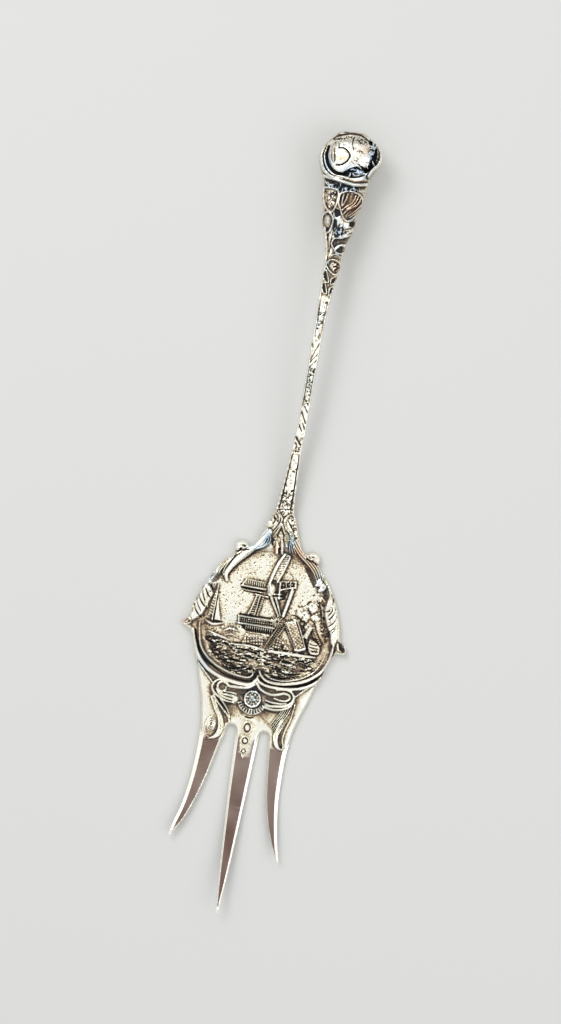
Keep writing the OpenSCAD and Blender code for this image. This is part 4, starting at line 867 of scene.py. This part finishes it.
def blur(a, sigma, mask):
    # soft copy of a map, only over the metal
    n = int(math.ceil(3 * sigma / step))
    k = np.exp(-0.5 * (np.arange(-n, n + 1) * step / sigma) ** 2)
    k /= k.sum()

    def spread(v):
        for ax in (0, 1):
            v = np.apply_along_axis(lambda r: np.convolve(r, k, "same"), ax, v)
        return v
    return spread(a * mask) / np.maximum(spread(mask), 1e-3)


print("patina maps")
patinaAndShade = {
    "fineBlur": 0.28,
    "fineGain": 2.8,
    "wideBlur": 0.9,
    "wideGain": 0.85,
    "nearEdge": (0.15, 0.75),
    "sootBlur": 0.16,
    # strength of the painted shade on the steep sides of the stem and rose
    "paintedSideShade": 0.22,
}
metal = (inset > -0.05).astype(float)
fine = blur(top, patinaAndShade["fineBlur"], metal) - top
wide = blur(top, patinaAndShade["wideBlur"], metal) - top
# the stem and calyx are blacker in their carving than the plate
age = 1 + 0.7 * smooth(18, 26, gridY) + 0.5 * smooth(76, 84, gridY)
hollow = np.clip(fine * patinaAndShade["fineGain"] * age + np.clip(wide, -1, 1) * patinaAndShade["wideGain"], -1, 1)
hollow = np.where(hollow > 0, hollow * smooth(*patinaAndShade["nearEdge"], inset), hollow)
# the field is darker towards its rim and over the water
onPlate = 1 - smooth(15, 15.4, fieldR)
veil = smooth(-6.5, -8.5, gridY) * 0.1 + smooth(-3, -6, gridY) * 0.08 + 0.25 * smooth(11.5, 15, fieldR)
veil = (veil + 0.12 * np.exp(-((gridX + 4.4) ** 2 + (gridY - 8.6) ** 2) / 2.5)) * onPlate
veil += 0.07 * np.exp(-((gridX + 9.5) / 1.6) ** 2 - ((gridY + 26) / 3) ** 2)
for x, y, wide, deep in (
        (-0.9, 105.3, 0.9, 0.22), (-1.2, 104.2, 0.8, 0.22), (2.6, 105, 1.6, 0.04), (0, 109.6, 1.6, 0.14),
        (-2.6, 109, 1.2, 0.12), (4.2, 108, 1, 0.18), (2.6, 110, 1.2, 0.12)):
    veil += deep * np.exp(-((gridX - x) ** 2 + (gridY - y) ** 2) / wide ** 2)
veil += 0.05 * smooth(99.5, 101.5, gridY) + 0.04 * smooth(18, 26, gridY)
veil += 0.02 * smooth(76, 84, gridY) * (1 - smooth(99, 101, gridY))


def patch(spots):
    # soft oval spots: place, half sizes and strength
    out = np.zeros_like(top)
    for x, y, wide, high, amount in spots:
        q = ((gridX - x) / wide) ** 2 + ((gridY - y) / high) ** 2
        out = np.maximum(out, amount * np.exp(-q))
    return out


# places where the tarnish in the carving stays grey or brown
soft = patch((
    (0.3, 17.5, 2.8, 5.6, 0.6), (12.3, 6.5, 1.8, 3, 0.75), (-13, 6.5, 1.8, 2.6, 0.75), (9, 11, 2, 2.6, 0.5),
    (-8.5, -24.5, 2.6, 4, 0.5), (-5.5, -17.6, 4, 2.4, 0.45), (5.5, -17.6, 4, 2.4, 0.4),
    (0, -20, 3.4, 3, 0.45), (7.5, -23.5, 2.4, 4.5, 0.4), (-13.4, -2, 1.6, 6, 0.6), (13.2, -1, 1.4, 6, 0.5),
    (0, -12.5, 16, 4.6, 0.3), (2.8, 94.6, 3, 4, 0.6), (-2.3, 95.3, 1.8, 3, 0.45),
    (-1.9, 90, 1.2, 2.2, 0.45), (0.8, 83, 3, 5, 0.35)))
hollow *= 1 - soft * (hollow > 0)
# blue or red tints in patches, and the darker painted reflections in the tines
blue = patch((
    (-2.8, 17, 1, 2.2, 1), (-4.8, 14.8, 2, 1, 0.8), (2.4, 16.2, 0.9, 2.8, 1), (-13.8, 6.4, 1.4, 2.4, 0.7),
    (-1.5, -18.2, 3, 1, 0.4), (0, -19.4, 2, 2, 0.8), (-12.5, -13.2, 2.4, 2, 0.35), (10.5, 9, 1.2, 3, 0.4),
    (3, -19.5, 3.4, 2, 0.2), (0.5, 98.3, 4, 0.9, 1), (2.5, 102.2, 3.2, 1.4, 1), (5.7, 106.5, 1.1, 3.4, 0.9),
    (-3.8, 103.5, 1.2, 2.6, 0.8), (1, 88.6, 1.4, 1.8, 1), (0, 91.8, 0.8, 1, 0.9), (0.2, 80.6, 0.8, 1, 0.6),
    (-6, -2.6, 4, 1.2, 0.3), (14, 1.5, 1, 4, 0.3), (-1.9, 90.5, 1, 1.6, 0.5), (1.4, 84, 1.4, 1.4, 0.5),
    (0.3, 68, 0.8, 3, 0.6), (0.4, 53, 1, 4.5, 0.45), (3.8, 91.5, 0.8, 0.8, 0.8), (0.6, -43, 1, 3, 0.7),
    (-13, 6.5, 1.4, 1.2, 0.8), (12.1, 7.4, 0.8, 1, 1), (12.4, 3, 0.8, 3, 0.4)))
red = patch((
    (-0.4, 15.4, 0.8, 1.4, 0.7), (3, 94.8, 2.4, 3, 0.35), (-3.6, 106, 1.4, 1.6, 0.3),
    (4.8, 15, 2, 1.6, 0.7), (7.8, 12.4, 1.8, 1.8, 0.5), (-12, -21, 2.2, 3, 0.2), (4.2, 94.5, 1.4, 3, 0.6),
    (-2.5, 94, 1.6, 2.6, 0.2), (13, -2, 1.6, 5, 0.3), (-15, -6, 1.2, 2, 0.2), (2.1, 80, 0.7, 1.2, 0.6),
    (0, 111, 3, 1.2, 0.3), (-1, 105.2, 1.2, 1.4, 0.5), (4, 107.6, 1, 1.4, 0.6),
    (-18.3, -4.1, 0.8, 0.8, 0.7), (12.2, 4.8, 1, 1.6, 0.4)))
# painted reflections on the flat faces of the tines: the tones they mirror, from light to dark down each of
# them
reflectionTones = {
    "middle": ((-28, -35, -40, -43, -46, -50, -54, -59, -65, -69),
               (0.35, 0.3, 0.42, 0.6, 0.35, 0.75, 0.7, 0.55, 0.75, 0.9)),
    "left": ((-30, -36, -41, -46, -52), (0.55, 0.4, 0.3, 0.45, 0.6)),
    "right": ((-30, -35, -41, -46, -55), (0.35, 0.25, 0.35, 0.5, 0.65)),
}
mirror = np.zeros_like(top)
for name, mask in (("middle", ~(onLeft | onRight)), ("left", onLeft), ("right", onRight)):
    ys, tone = (np.array(k) for k in reflectionTones[name])
    mirror += mask * np.interp(gridY, ys[::-1], tone[::-1])
mirror = np.clip(mirror + 0.08 * np.sin(gridY * 0.7 + gridX * 1.3), 0, 1)

print("mesh")


def onMap(grid, x, y):
    # value of a map at places between its grid points
    fx = np.clip(x / step - low[0], 0, count[0] - 1.001)
    fy = np.clip(y / step - low[1], 0, count[1] - 1.001)
    i, j = fx.astype(int), fy.astype(int)
    a, b = fx - i, fy - j
    return ((grid[i, j] * (1 - a) + grid[i + 1, j] * a) * (1 - b)
            + (grid[i, j + 1] * (1 - a) + grid[i + 1, j + 1] * a) * b)


def snapToOutline(x, y):
    # nearest point of the outline
    a, b = outline, np.roll(outline, -1, 0)
    d = b - a
    t = np.clip(((x - a[:, 0]) * d[:, 0] + (y - a[:, 1]) * d[:, 1]) / (d ** 2).sum(1), 0, 1)
    q = a + d * t[:, None]
    i = np.argmin((q[:, 0] - x) ** 2 + (q[:, 1] - y) ** 2)
    return q[i]


def planOf(verts):
    # x and y of some points
    return np.array([v.co[:2] for v in verts]).T


# a grid cut to the outline
bm = bmesh.new()
bmesh.ops.create_grid(bm, x_segments=int(count[0]), y_segments=int(count[1]), size=1)
bm.verts.ensure_lookup_table()
u, v = planOf(bm.verts)
ix, iy = np.rint((u + 1) / 2 * count[0]).astype(int), np.rint((v + 1) / 2 * count[1]).astype(int)
for v, x, y in zip(bm.verts, gridX[ix, iy], gridY[ix, iy]):
    v.co = (x, y, 0)
keep = (inset > -0.35 * step)[ix, iy]
bmesh.ops.delete(bm, geom=[v for v, k in zip(bm.verts, keep) if not k], context="VERTS")
loose = [f for f in bm.faces if all(len(e.link_faces) == 1 for e in f.edges)]
bmesh.ops.delete(bm, geom=loose, context="FACES")
bmesh.ops.delete(bm, geom=[v for v in bm.verts if not v.link_faces], context="VERTS")
for v in [v for v in bm.verts if v.is_boundary]:
    v.co.x, v.co.y = snapToOutline(v.co.x, v.co.y)
# points beside the edge of a tine's flat face are set on that edge, so that it stays crisp
onTines = [v for v in bm.verts if v.co.y < cast["tineTop"] + 0.5 and not v.is_boundary]
x, y = planOf(onTines)
offs = onMap(inset, x, y) - onMap(bevel, x, y)
for v, off, gx, gy in zip(onTines, offs, onMap(slopeX, x, y), onMap(slopeY, x, y)):
    if abs(off) < 0.5 * step:
        size = max(math.hypot(gx, gy), 0.3)
        v.co.x -= off * gx / size ** 2
        v.co.y -= off * gy / size ** 2
# back and front, each lifted to its height map
lifted = bmesh.ops.extrude_face_region(bm, geom=list(bm.faces), use_keep_orig=True)
frontVerts = set(g for g in lifted["geom"] if isinstance(g, bmesh.types.BMVert))
x, y = planOf(bm.verts)
tineRise = cast["tineLift"] * (np.maximum(0, cast["tineTop"] - y) / cast["tineLength"]) ** 2
for v, front, back, rise in zip(bm.verts, onMap(top, x, y), onMap(under, x, y), tineRise):
    v.co.z = max(front, back + 0.05) if v in frontVerts else back
    v.co.z += rise
bmesh.ops.recalc_face_normals(bm, faces=bm.faces)
bmesh.ops.transform(bm, verts=bm.verts, matrix=Matrix.Translation((0, cast["plateY"], 0)))
bmesh.ops.scale(bm, verts=bm.verts, vec=(0.001, 0.001, 0.001))
mesh = bpy.data.meshes.new("castFork")
bm.to_mesh(mesh)
bm.free()
fork = bpy.data.objects.new("castFork", mesh)
bpy.context.collection.objects.link(fork)
print("grid mesh", len(mesh.polygons))
thin = fork.modifiers.new("thin", "DECIMATE")
thin.ratio = cast["mostTriangles"] / (2 * len(mesh.polygons))
evaluated = fork.evaluated_get(bpy.context.evaluated_depsgraph_get())
cut = bpy.data.meshes.new_from_object(evaluated)
fork.modifiers.clear()
fork.data = cut
cut.name = "castFork"
bpy.data.meshes.remove(mesh)
print("thinned mesh", len(cut.polygons))


def pull(items, name):
    # one vector for each point or face, as rows
    data = np.empty(len(items) * 3)
    items.foreach_get(name, data)
    return data.reshape(-1, 3)


def inPlan(at):
    # metres in the shared frame to millimetres from the plate's middle
    return at[:, 0] * 1000, at[:, 1] * 1000 - cast["plateY"]


# maps onto the points of the mesh
pointX, pointY = inPlan(pull(cut.vertices, "co"))
upright = pull(cut.vertices, "normal")[:, 2]
facing = np.clip(upright * 2 + 0.6, 0, 1)
# painted shade: the steep sides of the stem and the rose are made darker and duller than what faces up
steepShade = np.clip(1 - np.abs(upright) * 2, 0, 1) * smooth(14, 18, pointY)
maps = {
    "hollow": onMap(hollow, pointX, pointY) * facing,
    "soot": onMap(blur(soot, patinaAndShade["sootBlur"], metal), pointX, pointY) * facing,
    "polish": onMap(polish, pointX, pointY),
    # the veil map, with painted shade added on the steep sides
    "veil": onMap(veil, pointX, pointY) * facing + steepShade * patinaAndShade["paintedSideShade"],
    "pits": onMap(pitted, pointX, pointY) * facing,
    "blue": onMap(blue, pointX, pointY) * facing,
    "red": onMap(red, pointX, pointY) * facing,
    "mirror": onMap(mirror, pointX, pointY),
}
for name, values in maps.items():
    layer = cut.attributes.new(name, "FLOAT", "POINT")
    layer.data.foreach_set("value", values.astype(np.float32))
centreX, centreY = inPlan(pull(cut.polygons, "center"))
onFace = onMap(inset, centreX, centreY) > onMap(bevel, centreX, centreY)
corners = [p.loop_total for p in cut.polygons]
layer = cut.attributes.new("face", "FLOAT", "CORNER")
layer.data.foreach_set("value", np.repeat(onFace, corners).astype(np.float32))
for p in cut.polygons:
    p.use_smooth = True
cut.set_sharp_from_angle(angle=math.radians(cast["sharpAngle"]))

print("silver")
patina = {
    "base": 0.1,
    "cloud": 0.4,
    "cloudScale": 240,
    "grain": 0.62,
    "grainScale": 3400,
    "pits": 0.62,
    "pitScale": 1900,
    "pitSize": (0.16, 0.34),
    "pitCloudScale": 700,
    "metallic": (1.0, 0.4),
    "roughness": (0.3, 0.6),
    "faceGloss": 0.2,
    "bumpStrength": 0.5,
    "bumpDistance": 0.00012,
    "stops": ((0.22, "ivory"), (0.42, "brown"), (0.64, "dark")),
    "bright": (0.99, 0.975, 0.89),
    "ivory": (0.9, 0.885, 0.725),
    "brown": (0.5, 0.39, 0.25),
    "dark": (0.12, 0.085, 0.06),
    "black": (0.012, 0.011, 0.013),
    # painted reflection colours for the tines' flat faces, light, middle and dark
    "reflectionLight": (0.4, 0.325, 0.28),
    "reflectionMiddle": (0.25, 0.175, 0.145),
    "reflectionDark": (0.12, 0.066, 0.055),
    "blue": (0.58, 0.74, 0.98),
    "red": (1.0, 0.74, 0.62),
}
silver = bpy.data.materials.new("oxidised_silver")
silver.use_nodes = True
nodes, links = silver.node_tree.nodes, silver.node_tree.links
shader = nodes["Principled BSDF"]
place = nodes.new("ShaderNodeTexCoord")


def read(name):
    # a map stored on the mesh
    n = nodes.new("ShaderNodeAttribute")
    n.attribute_name = name
    return n.outputs["Fac"]


def noise(scale, detail):
    n = nodes.new("ShaderNodeTexNoise")
    n.inputs["Scale"].default_value = scale
    n.inputs["Detail"].default_value = detail
    links.new(place.outputs["Object"], n.inputs["Vector"])
    return n.outputs[0]


def maths(op, a, b):
    # a and b may be numbers or sockets
    m = nodes.new("ShaderNodeMath")
    m.operation = op
    for k, v in enumerate((a, b)):
        if isinstance(v, (int, float)):
            m.inputs[k].default_value = v
        else:
            links.new(v, m.inputs[k])
    return m.outputs[0]


def ranged(value, a, b, c, d, soft=False):
    # a to b turned into c to d
    m = nodes.new("ShaderNodeMapRange")
    m.interpolation_type = "SMOOTHSTEP" if soft else "LINEAR"
    for name, v in zip(("From Min", "From Max", "To Min", "To Max"), (a, b, c, d)):
        m.inputs[name].default_value = v
    links.new(value, m.inputs["Value"])
    return m.outputs[0]


polished = maths("MULTIPLY", read("polish"), read("face"))
dull = maths("SUBTRACT", 1.0, polished)
grain = maths("MULTIPLY", maths("SUBTRACT", noise(patina["grainScale"], 2), 0.5), patina["grain"])
cloud = maths("MULTIPLY", maths("SUBTRACT", noise(patina["cloudScale"], 4), 0.5), patina["cloud"])
cells = nodes.new("ShaderNodeTexVoronoi")
cells.inputs["Scale"].default_value = patina["pitScale"]
cells.inputs["Randomness"].default_value = 1
links.new(place.outputs["Object"], cells.inputs["Vector"])
spots = ranged(cells.outputs["Distance"], *patina["pitSize"], 1, 0, True)
spots = maths("MULTIPLY", spots, ranged(noise(patina["pitCloudScale"], 2), 0.4, 0.6, 0.15, 1.0))
spots = maths("MULTIPLY", maths("MULTIPLY", spots, read("pits")), patina["pits"])
skin = maths("MULTIPLY", maths("ADD", grain, cloud), dull)
# the tarnish sum also holds the painted shade on the steep sides, which comes in with veil
tarnishAndShade = maths("ADD", maths("ADD", read("hollow"), read("soot")), maths("ADD", skin, patina["base"]))
tarnishAndShade = maths("ADD", maths("ADD", tarnishAndShade, read("veil")), spots)
ramp = nodes.new("ShaderNodeValToRGB")
stops = ramp.color_ramp.elements
stops[0].position, stops[0].color = 0.0, (*patina["bright"], 1)
stops[1].position, stops[1].color = 1.0, (*patina["black"], 1)
for at, name in patina["stops"]:
    stops.new(at).color = (*patina[name], 1)
links.new(tarnishAndShade, ramp.inputs[0])


def mixed(factor, a, b, how="MIX"):
    m = nodes.new("ShaderNodeMix")
    m.data_type = "RGBA"
    m.blend_type = how
    for name, v in (("A", a), ("B", b)):
        if isinstance(v, tuple):
            m.inputs[name].default_value = (*v, 1)
        else:
            links.new(v, m.inputs[name])
    links.new(factor, m.inputs["Factor"])
    return m.outputs["Result"]


# the tines' flat faces take painted reflection colours, light to dark by their map
face = nodes.new("ShaderNodeValToRGB")
face.color_ramp.elements[0].color = (*patina["reflectionLight"], 1)
face.color_ramp.elements[1].color = (*patina["reflectionDark"], 1)
face.color_ramp.elements.new(0.5).color = (*patina["reflectionMiddle"], 1)
links.new(read("mirror"), face.inputs[0])
colour = mixed(polished, ramp.outputs[0], face.outputs[0])
colour = mixed(read("blue"), colour, patina["blue"], "MULTIPLY")
links.new(mixed(read("red"), colour, patina["red"], "MULTIPLY"), shader.inputs["Base Color"])
links.new(ranged(tarnishAndShade, 0.35, 0.8, *patina["metallic"]), shader.inputs["Metallic"])
glossy = maths("SUBTRACT", tarnishAndShade, maths("MULTIPLY", polished, patina["faceGloss"]))
links.new(ranged(glossy, 0.0, 0.8, *patina["roughness"]), shader.inputs["Roughness"])
bump = nodes.new("ShaderNodeBump")
bump.inputs["Strength"].default_value = patina["bumpStrength"]
bump.inputs["Distance"].default_value = patina["bumpDistance"]
links.new(maths("MULTIPLY", maths("SUBTRACT", skin, spots), dull), bump.inputs["Height"])
links.new(bump.outputs[0], shader.inputs["Normal"])
cut.materials.clear()
cut.materials.append(silver)

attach(fork, "root")
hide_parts("cake_fork")

print("floor, lights and camera")
paper = {"halfSize": 3, "colour": (0.6, 0.6, 0.59, 1), "roughness": 0.9}
bm = bmesh.new()
bmesh.ops.create_grid(bm, x_segments=1, y_segments=1, size=paper["halfSize"])
floorMesh = bpy.data.meshes.new("floor")
bm.to_mesh(floorMesh)
bm.free()
floor = bpy.data.objects.new("floor", floorMesh)
bpy.context.collection.objects.link(floor)
sheet = bpy.data.materials.new("paper")
sheet.use_nodes = True
matt = sheet.node_tree.nodes["Principled BSDF"]
matt.inputs["Base Color"].default_value = paper["colour"]
matt.inputs["Roughness"].default_value = paper["roughness"]
floorMesh.materials.append(sheet)

# the sky's grey levels by height, and two lamps: place, size and power
studio = {
    "sky": ((0.1, 0.16), (0.55, 1.0), (0.85, 1.0), (1.0, 0.78)),
    "key": ((-0.35, 0.35, 0.6), 0.35, 2.2),
    "fill": ((0.5, -0.1, 0.5), 0.5, 0.9),
}
world = bpy.data.worlds.new("studio")
bpy.context.scene.world = world
world.use_nodes = True
sky, skyLinks = world.node_tree.nodes, world.node_tree.links
where = sky.new("ShaderNodeTexCoord")
split = sky.new("ShaderNodeSeparateXYZ")
skyLinks.new(where.outputs["Generated"], split.inputs[0])
dome = sky.new("ShaderNodeValToRGB")
levels = dome.color_ramp.elements
levels.remove(levels[1])
levels[0].position, levels[0].color = studio["sky"][0][0], (*[studio["sky"][0][1]] * 3, 1)
for at, level in studio["sky"][1:]:
    levels.new(at).color = (level, level, level, 1)
skyLinks.new(split.outputs["Z"], dome.inputs[0])
skyLinks.new(dome.outputs[0], sky["Background"].inputs["Color"])
sky["Background"].inputs["Strength"].default_value = 1.0


def softbox(name, place, size, power):
    lamp = bpy.data.lights.new(name, "AREA")
    lamp.size = size
    lamp.energy = power
    box = bpy.data.objects.new(name, lamp)
    box.location = place
    box.rotation_euler = (-Vector(place)).to_track_quat("-Z", "Y").to_euler()
    bpy.context.collection.objects.link(box)


softbox("key", *studio["key"])
softbox("fill", *studio["fill"])

shot = {"height": 0.9, "span": 0.2338, "x": -0.00099, "y": 0.0023, "roll": 9.8, "film": 24}
lens = bpy.data.cameras.new("camera")
lens.sensor_fit = "VERTICAL"
lens.sensor_height = shot["film"]
lens.lens = shot["film"] * shot["height"] / shot["span"]
lens.clip_start = 0.01
camera = bpy.data.objects.new("camera", lens)
camera.location = (shot["x"], shot["y"], shot["height"])
camera.rotation_euler = (0, 0, math.radians(shot["roll"]))
bpy.context.collection.objects.link(camera)
bpy.context.scene.camera = camera
bpy.context.scene.view_settings.view_transform = "Standard"
